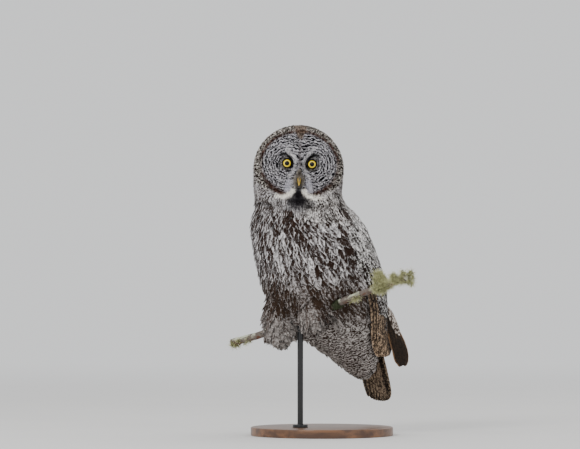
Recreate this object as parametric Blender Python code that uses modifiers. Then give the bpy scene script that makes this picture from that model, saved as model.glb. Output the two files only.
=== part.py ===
"""A great grey owl at life size, perched on a short cut length of branch over a plain display stand.

Units are metres, +Z is up. The origin is the middle of the underside of the stand's base, and the
face looks along -Y. The trunk is turned from the face by HEADING, as an owl looks over its shoulder.

Places on the bird are given in its own axes: forward is the way the chest points, level with the
ground, left is the bird's left, and up is the height over the ground.
"""

import math
from collections import namedtuple

import bmesh
import bpy
from mathutils import Matrix, Vector

# Driving dimensions
GAP = 0.0004
HEADING = math.radians(40)
KEEL = Vector((-0.0225, -0.0268, 0.0))
FORWARD = Vector((-math.sin(HEADING), -math.cos(HEADING), 0.0))
LEFT = Vector((math.cos(HEADING), -math.sin(HEADING), 0.0))
UP = Vector((0.0, 0.0, 1.0))

HEAD_CENTRE = (0.0556, 0.0116, 0.5592)
HEAD_YAW = math.radians(1.5)
HEAD_ROLL = math.radians(2.3)
HEAD_SEGMENTS = 32
FACE_RINGS = 7
DISC_HALF_WIDTH = 0.0798
DISC_HALF_HEIGHT = 0.0677
DISC_RISE = 0.0104
EYE_SPREAD = 0.0260
EYE_RISE = 0.0112
EYE_RADIUS = 0.0125
EYE_DEPTH = 0.0450

NECK_STATIONS = 2
TORSO_SEGMENTS = 26
TORSO_STEPS = 2
WING_SEGMENTS = 7
BLADE_SEGMENTS = 10
RIGHT_TUCK = 0.17
TAIL_LEAN = 19
TAIL_SEGMENTS = 16
LEG_SEGMENTS = 18

PERCH_START, PERCH_END = -0.205, 0.285
PERCH_RADIUS = 0.0100
PERCH_TAPER = 0.22
PERCH_PAST = 0.030
PERCH_RINGS = 20
FOOT_SIDES = {"right": -0.057, "left": 0.034}
FOOT_HALF_LENGTH = 0.0270
FOOT_CLEARANCE = 0.0052
PAD_RADII = (0.0125, 0.0125, 0.0085)
PAD_LIFT = 0.0025
TOE_ARCH = 0.0020
TOE_RADIUS = 0.0070
CLAW_RADIUS = 0.0034
CLAW_SWEEP = 62
CLAW_LIFT = 0.0045
CLAW_GAP = 0.0010

BLOCK_SIZE = 0.40

BASE_RADIUS = 0.150
BASE_THICKNESS = 0.018
BASE_EDGE = 0.0025
ROD_RADIUS = 0.006
ROD_SIDE = -0.013
ROD_ROOM = 0.10
COLLAR_RADIUS = 0.016
COLLAR_HEIGHT = 0.006
COLLAR_EDGE = 0.001

# A station of the trunk: the middle of the section in the bird's midplane, how far the section leans
# back from level in degrees, its half width, and its reach to the breast side and to the back side.
Station = namedtuple("Station", "forward up lean half_width front back")
TORSO = (
    Station(0.0450, 0.5030, 6, 0.0960, 0.0830, 0.0900),
    Station(0.0450, 0.4860, 10, 0.1000, 0.0840, 0.0930),
    Station(0.0400, 0.4620, 16, 0.1090, 0.0950, 0.1000),
    Station(0.0200, 0.4250, 24, 0.1210, 0.1040, 0.1060),
    Station(0.0000, 0.3850, 28, 0.1270, 0.1090, 0.1080),
    Station(-0.0220, 0.3400, 30, 0.1310, 0.1110, 0.1060),
    Station(-0.0520, 0.2950, 33, 0.1250, 0.1030, 0.0960),
    Station(-0.0880, 0.2500, 35, 0.1040, 0.0880, 0.0780),
    Station(-0.1230, 0.2050, 30, 0.0780, 0.0640, 0.0560),
    Station(-0.1500, 0.1650, 24, 0.0550, 0.0430, 0.0350),
    Station(-0.1680, 0.1340, 20, 0.0340, 0.0240, 0.0200),
    Station(-0.1750, 0.1180, 18, 0.0140, 0.0090, 0.0090),
)

# A station of a folded wing: the envelope it lies on, as for the trunk, the span of its lower and
# upper edge round that envelope in degrees from the breast, and half its thickness.
WingStation = namedtuple("WingStation", "forward up lean half_width back low high half_thick")
WING = (
    WingStation(0.0370, 0.476, 15, 0.0990, 0.0950, 82, 112, 0.0025),
    WingStation(0.0325, 0.462, 17, 0.1070, 0.0990, 77, 126, 0.0055),
    WingStation(0.0260, 0.446, 20, 0.1120, 0.1020, 78, 136, 0.0070),
    WingStation(0.0080, 0.408, 25, 0.1220, 0.1080, 80, 148, 0.0090),
    WingStation(-0.0120, 0.366, 28, 0.1270, 0.1090, 82, 154, 0.0100),
    WingStation(-0.0380, 0.320, 30, 0.1280, 0.1070, 82, 156, 0.0100),
    WingStation(-0.0720, 0.272, 31, 0.1180, 0.0980, 80, 153, 0.0092),
    WingStation(-0.1060, 0.230, 29, 0.0950, 0.0840, 77, 146, 0.0080),
    WingStation(-0.1390, 0.194, 27, 0.0790, 0.0660, 72, 136, 0.0065),
    WingStation(-0.1600, 0.174, 26, 0.0715, 0.0550, 72, 129, 0.0050),
    WingStation(-0.1720, 0.163, 25, 0.0665, 0.0480, 82, 119, 0.0035),
)

# A station of the flight feathers' stack that shows past the wing: its front and rear edge and its
# place to the side, its height and half its thickness.
BladeStation = namedtuple("BladeStation", "front rear left up half_thick")
PRIMARIES = (
    BladeStation(-0.141, -0.152, 0.0790, 0.276, 0.0022),
    BladeStation(-0.146, -0.173, 0.0795, 0.250, 0.0027),
    BladeStation(-0.160, -0.199, 0.0795, 0.212, 0.0027),
    BladeStation(-0.174, -0.222, 0.0780, 0.182, 0.0024),
    BladeStation(-0.184, -0.232, 0.0755, 0.161, 0.0021),
    BladeStation(-0.197, -0.229, 0.0740, 0.149, 0.0018),
    BladeStation(-0.210, -0.223, 0.0730, 0.144, 0.0013),
)

# The tail: the run of its middle line, its half width and half its thickness.
TailStation = namedtuple("TailStation", "forward up half_width half_thick")
TAIL = (
    TailStation(-0.1340, 0.3160, 0.0240, 0.0060),
    TailStation(-0.1580, 0.2660, 0.0310, 0.0060),
    TailStation(-0.1800, 0.2140, 0.0350, 0.0055),
    TailStation(-0.2000, 0.1620, 0.0380, 0.0050),
    TailStation(-0.2170, 0.1160, 0.0390, 0.0045),
    TailStation(-0.2270, 0.0900, 0.0350, 0.0040),
    TailStation(-0.2320, 0.0775, 0.0260, 0.0036),
    TailStation(-0.2345, 0.0710, 0.0130, 0.0030),
)

# Knots of the branch's middle line, rising to the bird's left.
Knot = namedtuple("Knot", "forward left up")
PERCH = (
    Knot(0.014, -0.320, 0.1680),
    Knot(0.016, -0.2154, 0.1911),
    Knot(0.019, -0.1112, 0.2142),
    Knot(0.021, 0.0012, 0.2499),
    Knot(0.028, 0.1380, 0.2940),
    Knot(0.036, 0.2520, 0.3255),
    Knot(0.044, 0.3600, 0.3560),
)

# Broken side twigs on the branch: their place, the way they point in the bird's axes, and their size.
Stub = namedtuple("Stub", "name left ahead along above length radius")
STUBS = (
    Stub("stub_low", -0.172, 0.25, 0.55, -1.0, 0.016, 0.0042),
    Stub("stub_high", -0.128, -0.80, -0.40, 0.9, 0.021, 0.0036),
    Stub("stub_end", 0.190, 0.50, 0.50, -0.9, 0.018, 0.0032),
)

# A feathered leg, as level slices: the place of its middle before the branch's line, its height over
# that line, its half width and its reach forward and back.
LegSlice = namedtuple("LegSlice", "forward above half_width front back")
LEG = (
    LegSlice(-0.022, 0.100, 0.0400, 0.0420, 0.0480),
    LegSlice(-0.010, 0.060, 0.0450, 0.0470, 0.0540),
    LegSlice(-0.001, 0.034, 0.0445, 0.0470, 0.0450),
    LegSlice(0.005, 0.013, 0.0400, 0.0430, 0.0390),
    LegSlice(0.011, -0.007, 0.0330, 0.0330, 0.0290),
    LegSlice(0.018, -0.022, 0.0230, 0.0200, 0.0170),
    LegSlice(0.023, -0.032, 0.0110, 0.0090, 0.0080),
)

# Toes: their place along the branch beside the foot's middle at root and at tip, and how far they
# reach round the branch from its top, in degrees, forward being positive.
Toe = namedtuple("Toe", "name root tip reach")
TOES = (
    Toe("inner", -0.0085, -0.0135, 112),
    Toe("middle", 0.0035, 0.0045, 120),
    Toe("hallux", -0.0050, -0.0085, -100),
    Toe("outer", 0.0080, 0.0150, -106),
)

# The head behind the facial disc: place before or behind the head's middle, half width, reach up
# and reach down, from the disc's rim round to the nape.
HeadRing = namedtuple("HeadRing", "depth half_width rise fall")
HEAD_BACK = (
    HeadRing(-0.0585, 0.0835, 0.0820, 0.0620),
    HeadRing(-0.0520, 0.0880, 0.0862, 0.0780),
    HeadRing(-0.0380, 0.0915, 0.0900, 0.1150),
    HeadRing(-0.0170, 0.0936, 0.0922, 0.1800),
    HeadRing(0.0090, 0.0945, 0.0926, 0.2200),
    HeadRing(0.0350, 0.0930, 0.0900, 0.2200),
    HeadRing(0.0570, 0.0870, 0.0835, 0.2000),
    HeadRing(0.0750, 0.0760, 0.0715, 0.1700),
    HeadRing(0.0890, 0.0590, 0.0550, 0.1300),
    HeadRing(0.0980, 0.0380, 0.0360, 0.0900),
    HeadRing(0.1020, 0.0160, 0.0150, 0.0400),
)

# Sections down each half of the bill, in head axes: height, place before the head's middle, half
# width and half height.
BillRing = namedtuple("BillRing", "rise depth half_width half_height")
BILL_UPPER = (
    BillRing(-0.0060, -0.0530, 0.0066, 0.0062),
    BillRing(-0.0085, -0.0610, 0.0062, 0.0060),
    BillRing(-0.0125, -0.0685, 0.0055, 0.0054),
    BillRing(-0.0180, -0.0738, 0.0046, 0.0046),
    BillRing(-0.0240, -0.0762, 0.0036, 0.0038),
    BillRing(-0.0300, -0.0760, 0.0024, 0.0026),
    BillRing(-0.0345, -0.0742, 0.0010, 0.0012),
)
BILL_LOWER = (
    BillRing(-0.0190, -0.0520, 0.0052, 0.0030),
    BillRing(-0.0225, -0.0600, 0.0048, 0.0030),
    BillRing(-0.0262, -0.0660, 0.0038, 0.0024),
    BillRing(-0.0290, -0.0690, 0.0020, 0.0014),
)
BILL_SEGMENTS = 12

COLOURS = {
    "plumage": (0.29, 0.26, 0.24),
    "flight_feathers": (0.17, 0.14, 0.12),
    "eye": (0.80, 0.62, 0.05),
    "bill": (0.72, 0.56, 0.12),
    "claw": (0.03, 0.03, 0.03),
    "bark": (0.24, 0.20, 0.16),
    "stand": (0.10, 0.08, 0.06),
    "rod": (0.05, 0.05, 0.05),
}
ROUGHNESS = {"eye": 0.05, "bill": 0.35, "claw": 0.3, "rod": 0.4, "stand": 0.45}


def on_bird(forward, left, up):
    """A place on the bird, given in its own axes, as a point of the model."""
    return KEEL + FORWARD * forward + LEFT * left + UP * up


def head_matrix():
    """Head axes, with X to the viewer's right, Y to the back of the head and Z up, in the model."""
    turn = Matrix.Rotation(HEAD_YAW, 4, "Z") @ Matrix.Rotation(HEAD_ROLL, 4, "Y")
    return Matrix.Translation(on_bird(*HEAD_CENTRE)) @ turn


def catmull(before, here, there, after, t):
    """The Catmull-Rom value a share t of the way from here to there."""
    square = 2 * before - 5 * here + 4 * there - after
    cube = 3 * here - before - 3 * there + after
    return 0.5 * (2 * here + (there - before) * t + square * t**2 + cube * t**3)


def smooth(rows, steps):
    """The rows with Catmull-Rom rows put between them, steps to each pair."""
    made = []
    last = len(rows) - 1
    for n in range(last * steps + 1):
        i = min(n // steps, last - 1)
        near = (rows[min(max(i + k, 0), last)] for k in (-1, 0, 1, 2))
        made.append(type(rows[0])(*(catmull(*four, n / steps - i) for four in zip(*near))))
    return made


def perch_point(left):
    """The branch's middle line at a place to the bird's left, read from its knots."""
    i = 1
    while i < len(PERCH) - 3 and left > PERCH[i + 1].left:
        i += 1
    before, here, there, after = PERCH[i - 1 : i + 3]
    t = (left - here.left) / (there.left - here.left)
    forward = catmull(before.forward, here.forward, there.forward, after.forward, t)
    up = catmull(before.up, here.up, there.up, after.up, t)
    return on_bird(forward, left, up)


def perch_frame(left):
    """The branch at a place to the bird's left: its middle, its run, and forward and up square to it."""
    step = 0.005
    along = (perch_point(left + step) - perch_point(left - step)).normalized()
    ahead = (FORWARD - along * FORWARD.dot(along)).normalized()
    return perch_point(left), along, ahead, ahead.cross(along)


def round_perch(left, angle, beside, radius):
    """A point at an angle from the branch's top, forward positive, and a distance from its line."""
    middle, along, ahead, above = perch_frame(left)
    turn = math.radians(angle)
    return middle + along * beside + ahead * (radius * math.sin(turn)) + above * (radius * math.cos(turn))


def material(name):
    """The plain finish of one kind of surface."""
    found = bpy.data.materials.get(name)
    if found:
        return found
    made = bpy.data.materials.new(name)
    made.use_nodes = True
    shader = made.node_tree.nodes["Principled BSDF"]
    shader.inputs["Base Color"].default_value = (*COLOURS[name], 1.0)
    shader.inputs["Roughness"].default_value = ROUGHNESS.get(name, 0.9)
    return made


def collection(name):
    """The collection of that name, made once."""
    found = bpy.data.collections.get(name)
    if not found:
        found = bpy.data.collections.new(name)
        bpy.context.scene.collection.children.link(found)
    return found


def add_object(name, data, finish=None):
    """A part of the owl where it has a finish, or else a hidden cutter."""
    made = bpy.data.objects.new(name, data)
    collection("great_grey_owl" if finish else "cutters").objects.link(made)
    if finish:
        data.materials.append(material(finish))
    else:
        made.hide_render = True
        made.display_type = "WIRE"
    return made


def shape_object(name, shape, finish=None):
    """The object of a finished bmesh, shaded smooth but for its sharp edges."""
    mesh = bpy.data.meshes.new(name)
    shape.to_mesh(mesh)
    shape.free()
    mesh.shade_smooth()
    mesh.set_sharp_from_angle(angle=math.radians(45))
    return add_object(name, mesh, finish)


def skin_rings(name, rings, finish=None):
    """A closed solid through rings of equal length, with a flat face at both ends."""
    shape = bmesh.new()
    rows = [[shape.verts.new(point) for point in ring] for ring in rings]
    for one, two in zip(rows, rows[1:]):
        for i in range(len(one)):
            j = (i + 1) % len(one)
            shape.faces.new((one[i], one[j], two[j]))
            shape.faces.new((one[i], two[j], two[i]))
    shape.faces.new(rows[0][::-1])
    shape.faces.new(rows[-1])
    bmesh.ops.recalc_face_normals(shape, faces=shape.faces)
    return shape_object(name, shape, finish)


def oval(middle, across, along, half_width, front, back, count):
    """A ring of points round a middle, with its own reach ahead and behind."""
    ring = []
    for n in range(count):
        angle = 2 * math.pi * n / count
        reach = front if math.cos(angle) > 0 else back
        ring.append(middle + across * (half_width * math.sin(angle)) + along * (reach * math.cos(angle)))
    return ring


def evaluated_mesh(name, source):
    """The object's shape with its modifiers, welded, as a mesh in the model's own place."""
    bpy.context.view_layer.update()
    graph = bpy.context.evaluated_depsgraph_get()
    mesh = bpy.data.meshes.new_from_object(source.evaluated_get(graph))
    mesh.transform(source.matrix_world)
    mesh.name = name
    shape = bmesh.new()
    shape.from_mesh(mesh)
    bmesh.ops.remove_doubles(shape, verts=shape.verts, dist=1e-5)
    bmesh.ops.recalc_face_normals(shape, faces=shape.faces)
    shape.to_mesh(mesh)
    shape.free()
    return mesh


def boolean(target, operation, *tools):
    """Cuts the tools from the target, or joins them to it."""
    for tool in tools:
        step = target.modifiers.new(f"{operation}_{tool.name}".lower(), "BOOLEAN")
        step.operation = operation
        step.solver = "EXACT"
        step.object = tool
    return target


def settle(target):
    """Applies the target's modifiers, so that it can be cut, joined or used again as a whole."""
    mesh = evaluated_mesh(target.name, target)
    mesh.shade_smooth()
    mesh.set_sharp_from_angle(angle=math.radians(45))
    target.modifiers.clear()
    target.location = (0, 0, 0)
    target.data = mesh
    return target


def tube(name, points, radii, finish=None, rounds=1):
    """A tube along the points with a radius at each, as a curve made into a closed mesh."""
    curve = bpy.data.curves.new(name, "CURVE")
    curve.dimensions = "3D"
    curve.bevel_depth = 1.0
    curve.bevel_resolution = rounds
    curve.use_fill_caps = True
    line = curve.splines.new("POLY")
    line.points.add(len(points) - 1)
    for knot, point, radius in zip(line.points, points, radii):
        knot.co = (*point, 1.0)
        knot.radius = radius
    rough = bpy.data.objects.new(name + "_curve", curve)
    bpy.context.scene.collection.objects.link(rough)
    mesh = evaluated_mesh(name, rough)
    bpy.data.objects.remove(rough)
    mesh.shade_smooth()
    mesh.set_sharp_from_angle(angle=math.radians(50))
    return add_object(name, mesh, finish)


def ball(name, matrix, radii, finish=None, segments=10, rings=7):
    """An ellipsoid in the axes that the matrix gives."""
    shape = bmesh.new()
    bmesh.ops.create_uvsphere(shape, u_segments=segments, v_segments=rings, radius=1.0)
    bmesh.ops.transform(shape, matrix=matrix @ Matrix.Diagonal((*radii, 1.0)), verts=shape.verts)
    return shape_object(name, shape, finish)


def breast_way(lean):
    """The direction to the breast side of a section that leans back by lean degrees."""
    angle = math.radians(lean)
    return FORWARD * math.cos(angle) - UP * math.sin(angle)


def torso():
    """Neck and trunk, one loft that a thin cut parts below the neck."""
    rings = []
    for row in smooth(TORSO, TORSO_STEPS):
        middle = on_bird(row.forward, 0.0, row.up)
        size = (row.half_width, row.front, row.back)
        rings.append(oval(middle, LEFT, breast_way(row.lean), *size, TORSO_SEGMENTS))
    share = NECK_STATIONS * TORSO_STEPS
    neck = skin_rings("neck", rings[: share + 1], "plumage")
    lower = [[point - UP * GAP for point in rings[share]]] + rings[share + 1 :]
    return neck, skin_rings("trunk", lower, "plumage")


def wing_ring(row, side, grow):
    """One crescent section of a folded wing, over its outside from the lower edge and back inside."""
    breast = breast_way(row.lean)
    middle = on_bird(row.forward, 0.0, row.up)
    past = grow / row.back
    low, high = math.radians(row.low) - past, math.radians(row.high) + past
    outside = []
    inside = []
    for n in range(WING_SEGMENTS + 1):
        share = n / WING_SEGMENTS
        angle = low + (high - low) * share
        spread = LEFT * (side * row.half_width * math.sin(angle)) + breast * (row.back * math.cos(angle))
        thick = row.half_thick * max(0.25, 1 - (2 * share - 1) ** 4) + grow
        outside.append(middle + spread + spread.normalized() * thick)
        inside.append(middle + spread - spread.normalized() * thick)
    return outside + inside[::-1]


def stretched(rings, grow):
    """The rings with the first and last moved outwards along the loft."""
    first = (rings[0][0] - rings[1][0]).normalized() * grow
    last = (rings[-1][0] - rings[-2][0]).normalized() * grow
    return [[p + first for p in rings[0]]] + rings[1:-1] + [[p + last for p in rings[-1]]]


def wing(name, side, finish=None, grow=0.0):
    """A folded wing, from the wrist beside the breast to the ends of its inner flight feathers."""
    rings = [wing_ring(row, side, grow) for row in WING]
    return skin_rings(name, stretched(rings, grow), finish)


def primaries(name, side, finish=None, grow=0.0):
    """The stack of long outer flight feathers that shows past a folded wing, the right one tucked in."""
    rings = []
    for row in PRIMARIES:
        half = (row.front - row.rear) / 2 + grow
        tuck = RIGHT_TUCK * (PRIMARIES[0].up - row.up) if side < 0 else 0.0
        middle = on_bird((row.front + row.rear + tuck) / 2, side * (row.left - tuck), row.up)
        rings.append(oval(middle, LEFT, FORWARD, row.half_thick + grow, half, half, BLADE_SEGMENTS))
    return skin_rings(name, stretched(rings, grow), finish)


def tail(name, finish=None, grow=0.0):
    """The closed tail, rounded at its tip and a little arched across."""
    breast = breast_way(TAIL_LEAN)
    rings = []
    for row in TAIL:
        half = row.half_width + grow
        middle = on_bird(row.forward, 0.0, row.up)
        flat = oval(middle, LEFT, breast, half, row.half_thick + grow, row.half_thick + grow, TAIL_SEGMENTS)
        arch = [(point - middle).dot(LEFT) / half for point in flat]
        rings.append([point + breast * (0.08 * half * share**2) for point, share in zip(flat, arch)])
    return skin_rings(name, stretched(rings, grow), finish)


def leg(name, side, finish=None, grow=0.0):
    """A leg in its trousers of feathers, which hang over the toes and the front of the branch."""
    start = perch_point(side)
    rings = []
    for row in LEG:
        middle = start + FORWARD * row.forward + UP * row.above
        size = (row.half_width + grow, row.front + grow, row.back + grow)
        rings.append(oval(middle, LEFT, FORWARD, *size, LEG_SEGMENTS))
    return skin_rings(name, stretched(rings, grow), finish)


def toe_tube(name, side, toe, count=6):
    """One toe, which arches off its root and hugs the branch, with the swellings of its pads."""
    points = []
    radii = []
    for n in range(count):
        share = n / (count - 1)
        reach = PERCH_RADIUS + GAP * 2 + TOE_RADIUS + TOE_ARCH * math.sin(share * math.pi)
        beside = toe.root + (toe.tip - toe.root) * share
        points.append(round_perch(side, toe.reach * share, beside, reach))
        radii.append(TOE_RADIUS * (1.0 - 0.25 * share + 0.07 * math.sin(share * math.pi * 3)))
    return tube(name, points, radii)


def foot(name, side):
    """A foot of four feathered toes, two before the branch and two behind, on one round pad."""
    place = round_perch(side, 0, 0.0, PERCH_RADIUS + TOE_RADIUS + PAD_LIFT)
    made = ball(name, Matrix.Translation(place), PAD_RADII, "plumage")
    boolean(made, "UNION", *(toe_tube(f"{name}_{toe.name}", side, toe) for toe in TOES))
    return settle(made)


def claw(name, side, toe, count=6):
    """The curved talon past the end of one toe."""
    way = math.copysign(1, toe.reach)
    start = toe.reach + way * math.degrees(CLAW_GAP / PERCH_RADIUS)
    points = []
    radii = []
    for n in range(count):
        share = n / (count - 1)
        reach = PERCH_RADIUS + GAP * 2 + CLAW_LIFT + CLAW_RADIUS * 0.4 * math.sin(share * math.pi)
        points.append(round_perch(side, start + way * CLAW_SWEEP * share, toe.tip, reach))
        radii.append(CLAW_RADIUS * (1 - share) ** 0.7 + 0.0005)
    return tube(name, points, radii, "claw")


def branch_rings(start, end, count, grow=0.0, segments=12):
    """Rings along the branch, with the slow swellings of weathered wood."""
    rings = []
    for n in range(count):
        left = start + (end - start) * n / (count - 1)
        middle, _, ahead, above = perch_frame(left)
        taper = 1.0 - PERCH_TAPER * (left - PERCH_START) / (PERCH_END - PERCH_START)
        swell = 1 + 0.04 * math.sin(left * 83)
        ring = []
        for k in range(segments):
            angle = 2 * math.pi * k / segments
            lump = 1 + 0.04 * math.sin(2 * angle + 31 * left) + 0.03 * math.sin(3 * angle - 47 * left)
            size = PERCH_RADIUS * taper * swell * lump + grow
            ring.append(middle + ahead * (size * math.cos(angle)) + above * (size * math.sin(angle)))
        rings.append(ring)
    return rings


def perch():
    """The cut length of branch, with the stubs of three broken side twigs."""
    made = skin_rings("perch", branch_rings(PERCH_START, PERCH_END, PERCH_RINGS), "bark")
    for stub in STUBS:
        lean = (FORWARD * stub.ahead + LEFT * stub.along + UP * stub.above).normalized()
        root = perch_point(stub.left)
        points = [root, root + lean * (stub.length * 0.6), root + lean * stub.length]
        radii = (stub.radius * 1.3, stub.radius, stub.radius * 0.8)
        boolean(made, "UNION", tube(stub.name, points, radii))
    return settle(made)


def face_reach(x, z):
    """How far the face stands forward of the head's middle at a place on the disc, in head axes."""
    rho = math.hypot(x / DISC_HALF_WIDTH, (z - DISC_RISE) / DISC_HALF_HEIGHT)
    dish = 0.0575 - 0.0085 * math.cos(min(rho, 1.0) * math.pi / 2) ** 1.3 - 0.002 * rho
    ridge = 0.0130 * math.exp(-((x / 0.0125) ** 2) - ((z - 0.004) / 0.040) ** 2)
    nose = 0.0040 * math.exp(-((x / 0.010) ** 2) - ((z + 0.016) / 0.014) ** 2)
    brow = 0.0040 * math.exp(-(((abs(x) - 0.017) / 0.010) ** 2) - ((z - 0.024) / 0.018) ** 2)
    cheek = 0.0035 * math.exp(-(((abs(x) - 0.020) / 0.014) ** 2) - ((z + 0.038) / 0.014) ** 2)
    hollow = 0.0022 * math.exp(-(((abs(x) - EYE_SPREAD) / 0.012) ** 2) - ((z - EYE_RISE) / 0.012) ** 2)
    return dish + ridge + nose + brow + cheek - hollow


def head():
    """The head: a dished facial disc, its rim, and the round crown, cheeks and nape behind it."""
    turns = [2 * math.pi * k / HEAD_SEGMENTS for k in range(HEAD_SEGMENTS)]
    rings = []
    for n in range(1, FACE_RINGS + 1):
        rho = n / FACE_RINGS
        places = [
            (DISC_HALF_WIDTH * rho * math.cos(turn), DISC_RISE + DISC_HALF_HEIGHT * rho * math.sin(turn))
            for turn in turns
        ]
        rings.append([Vector((x, -face_reach(x, z), z)) for x, z in places])
    for row in HEAD_BACK:
        ring = []
        for turn in turns:
            reach = row.rise if math.sin(turn) > 0 else row.fall
            ring.append(Vector((row.half_width * math.cos(turn), row.depth, reach * math.sin(turn))))
        rings.append(ring)
    made = skin_rings("head", rings, "plumage")
    made.data.transform(head_matrix())
    return made


def eyeball(name, side, finish=None, grow=0.0):
    """An eyeball with its poles to the front and back of the head."""
    place = Vector((side * EYE_SPREAD, -EYE_DEPTH, EYE_RISE))
    turn = Matrix.Rotation(math.radians(90), 4, "X")
    matrix = head_matrix() @ Matrix.Translation(place) @ turn
    return ball(name, matrix, (EYE_RADIUS + grow,) * 3, finish, 14, 8)


def bill(name, rows, finish=None, grow=0.0):
    """One half of the hooked bill, from its root in the face to its tip."""
    rings = []
    for i, row in enumerate(rows):
        before = rows[max(i - 1, 0)]
        after = rows[min(i + 1, len(rows) - 1)]
        along = Vector((0, after.depth - before.depth, after.rise - before.rise)).normalized()
        across = Vector((1, 0, 0))
        middle = Vector((0, row.depth, row.rise))
        size = (row.half_width + grow, row.half_height + grow, row.half_height + grow)
        rings.append(oval(middle, across, along.cross(across), *size, BILL_SEGMENTS))
    made = skin_rings(name, stretched(rings, grow), finish)
    made.data.transform(head_matrix())
    return made


def neck_block():
    """A block that fills all below the neck's top section, to part the head from it."""
    top = TORSO[0]
    breast = breast_way(top.lean)
    over = breast.cross(LEFT)
    turn = Matrix((LEFT, breast, over)).transposed().to_4x4()
    middle = on_bird(top.forward, 0, top.up) + over * (GAP - BLOCK_SIZE / 2)
    shape = bmesh.new()
    bmesh.ops.create_cube(shape, size=BLOCK_SIZE)
    bmesh.ops.transform(shape, matrix=Matrix.Translation(middle) @ turn, verts=shape.verts)
    bmesh.ops.recalc_face_normals(shape, faces=shape.faces)
    return shape_object("neck_block", shape)


def turned(name, profile, finish, segments):
    """A round piece from a profile turned about Z, which runs down its outer side."""
    mesh = bpy.data.meshes.new(name)
    mesh.from_pydata([(x, 0, z) for x, z in profile], [(i, i + 1) for i in range(len(profile) - 1)], [])
    made = add_object(name, mesh, finish)
    lathe = made.modifiers.new("turned", "SCREW")
    lathe.steps = lathe.render_steps = segments
    lathe.use_merge_vertices = True
    lathe.merge_threshold = 0.00001
    return made


def stand_base():
    """The flat round base, with a small bevel at its upper edge."""
    top = BASE_THICKNESS
    edge = BASE_EDGE
    profile = [(0, top), (BASE_RADIUS - edge, top), (BASE_RADIUS, top - edge), (BASE_RADIUS, 0), (0, 0)]
    return turned("stand_base", profile, "stand", 48)


def stand_rod(perch_cutter):
    """The upright that carries the branch, with a collar on the base, cut to the branch's underside."""
    under = perch_point(ROD_SIDE)
    foot_height = BASE_THICKNESS + GAP
    collar = foot_height + COLLAR_HEIGHT
    profile = [
        (0, under.z),
        (ROD_RADIUS, under.z),
        (ROD_RADIUS, collar),
        (COLLAR_RADIUS - COLLAR_EDGE, collar),
        (COLLAR_RADIUS, collar - COLLAR_EDGE),
        (COLLAR_RADIUS, foot_height),
        (0, foot_height),
    ]
    made = turned("stand_rod", profile, "rod", 24)
    made.location = (under.x, under.y, 0)
    return settle(boolean(settle(made), "DIFFERENCE", perch_cutter))


def foot_room(name, side):
    """The round room that a foot on the branch takes up inside a leg's feathers."""
    clear = PERCH_RADIUS + 2 * TOE_RADIUS + FOOT_CLEARANCE
    ends = [perch_point(side - FOOT_HALF_LENGTH), perch_point(side + FOOT_HALF_LENGTH)]
    return tube(name, ends, (clear, clear), rounds=4)


def limb(side_name, side, perch_cutter):
    """A feathered leg with its foot and its four talons. Returns the room they need in the trunk."""
    grip = foot_room(f"grip_{side_name}_cutter", side)
    room = settle(boolean(leg(f"leg_{side_name}_cutter", side, grow=GAP), "UNION", grip))
    settle(boolean(grip, "UNION", perch_cutter))
    boolean(leg(f"leg_{side_name}", side, "plumage"), "DIFFERENCE", grip)
    boolean(foot(f"foot_{side_name}", side), "DIFFERENCE", perch_cutter)
    for toe in TOES:
        boolean(claw(f"claw_{side_name}_{toe.name}", side, toe), "DIFFERENCE", perch_cutter)
    return room


def head_and_face():
    """The head with its eyes in their sockets and the two halves of its bill."""
    skull = head()
    boolean(skull, "DIFFERENCE", neck_block())
    for side_name, side in (("left", 1), ("right", -1)):
        eyeball(f"eye_{side_name}", side, "eye")
        boolean(skull, "DIFFERENCE", eyeball(f"socket_{side_name}", side, grow=GAP))
    upper_room = bill("bill_upper_cutter", BILL_UPPER, grow=GAP)
    lower_room = bill("bill_lower_cutter", BILL_LOWER, grow=GAP)
    bill("bill_upper", BILL_UPPER, "bill")
    boolean(bill("bill_lower", BILL_LOWER, "bill"), "DIFFERENCE", upper_room)
    boolean(skull, "DIFFERENCE", upper_room, lower_room)


def main():
    for old in list(bpy.data.objects):
        bpy.data.objects.remove(old)

    stand_base()
    perch()
    ends = (PERCH_START - PERCH_PAST, PERCH_END + PERCH_PAST)
    perch_cutter = skin_rings("perch_cutter", branch_rings(*ends, PERCH_RINGS, GAP))
    stand_rod(perch_cutter)

    head_and_face()
    neck, trunk = torso()
    tail("tail", "flight_feathers")
    tail_room = tail("tail_cutter", grow=GAP)
    for side_name, side in (("left", 1), ("right", -1)):
        wing(f"wing_{side_name}", side, "flight_feathers")
        wing_room = wing(f"wing_{side_name}_cutter", side, grow=GAP)
        boolean(primaries(f"primaries_{side_name}", side, "flight_feathers"), "DIFFERENCE", wing_room)
        blade_room = primaries(f"primaries_{side_name}_cutter", side, grow=GAP)
        boolean(neck, "DIFFERENCE", wing_room)
        settle(boolean(trunk, "DIFFERENCE", wing_room))
        settle(boolean(trunk, "DIFFERENCE", blade_room))
    settle(boolean(trunk, "DIFFERENCE", tail_room))
    rooms = [limb(side_name, side, perch_cutter) for side_name, side in FOOT_SIDES.items()]
    under = perch_point(ROD_SIDE)
    rod_room = tube("rod_cutter", [under - UP * ROD_ROOM, under], (ROD_RADIUS * 1.1,) * 2, rounds=4)
    boolean(trunk, "DIFFERENCE", settle(boolean(rooms[0], "UNION", rooms[1], perch_cutter, rod_room)))


main()
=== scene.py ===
"""Great grey owl on a short cut branch: skin, feathers, eyes, bark and stand round the packed solids."""

import math
from collections import namedtuple
from functools import cache

import bmesh
import bpy
import numpy as np
from mathutils import Matrix, Vector, noise
from mathutils.bvhtree import BVHTree
from mathutils.kdtree import KDTree


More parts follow.
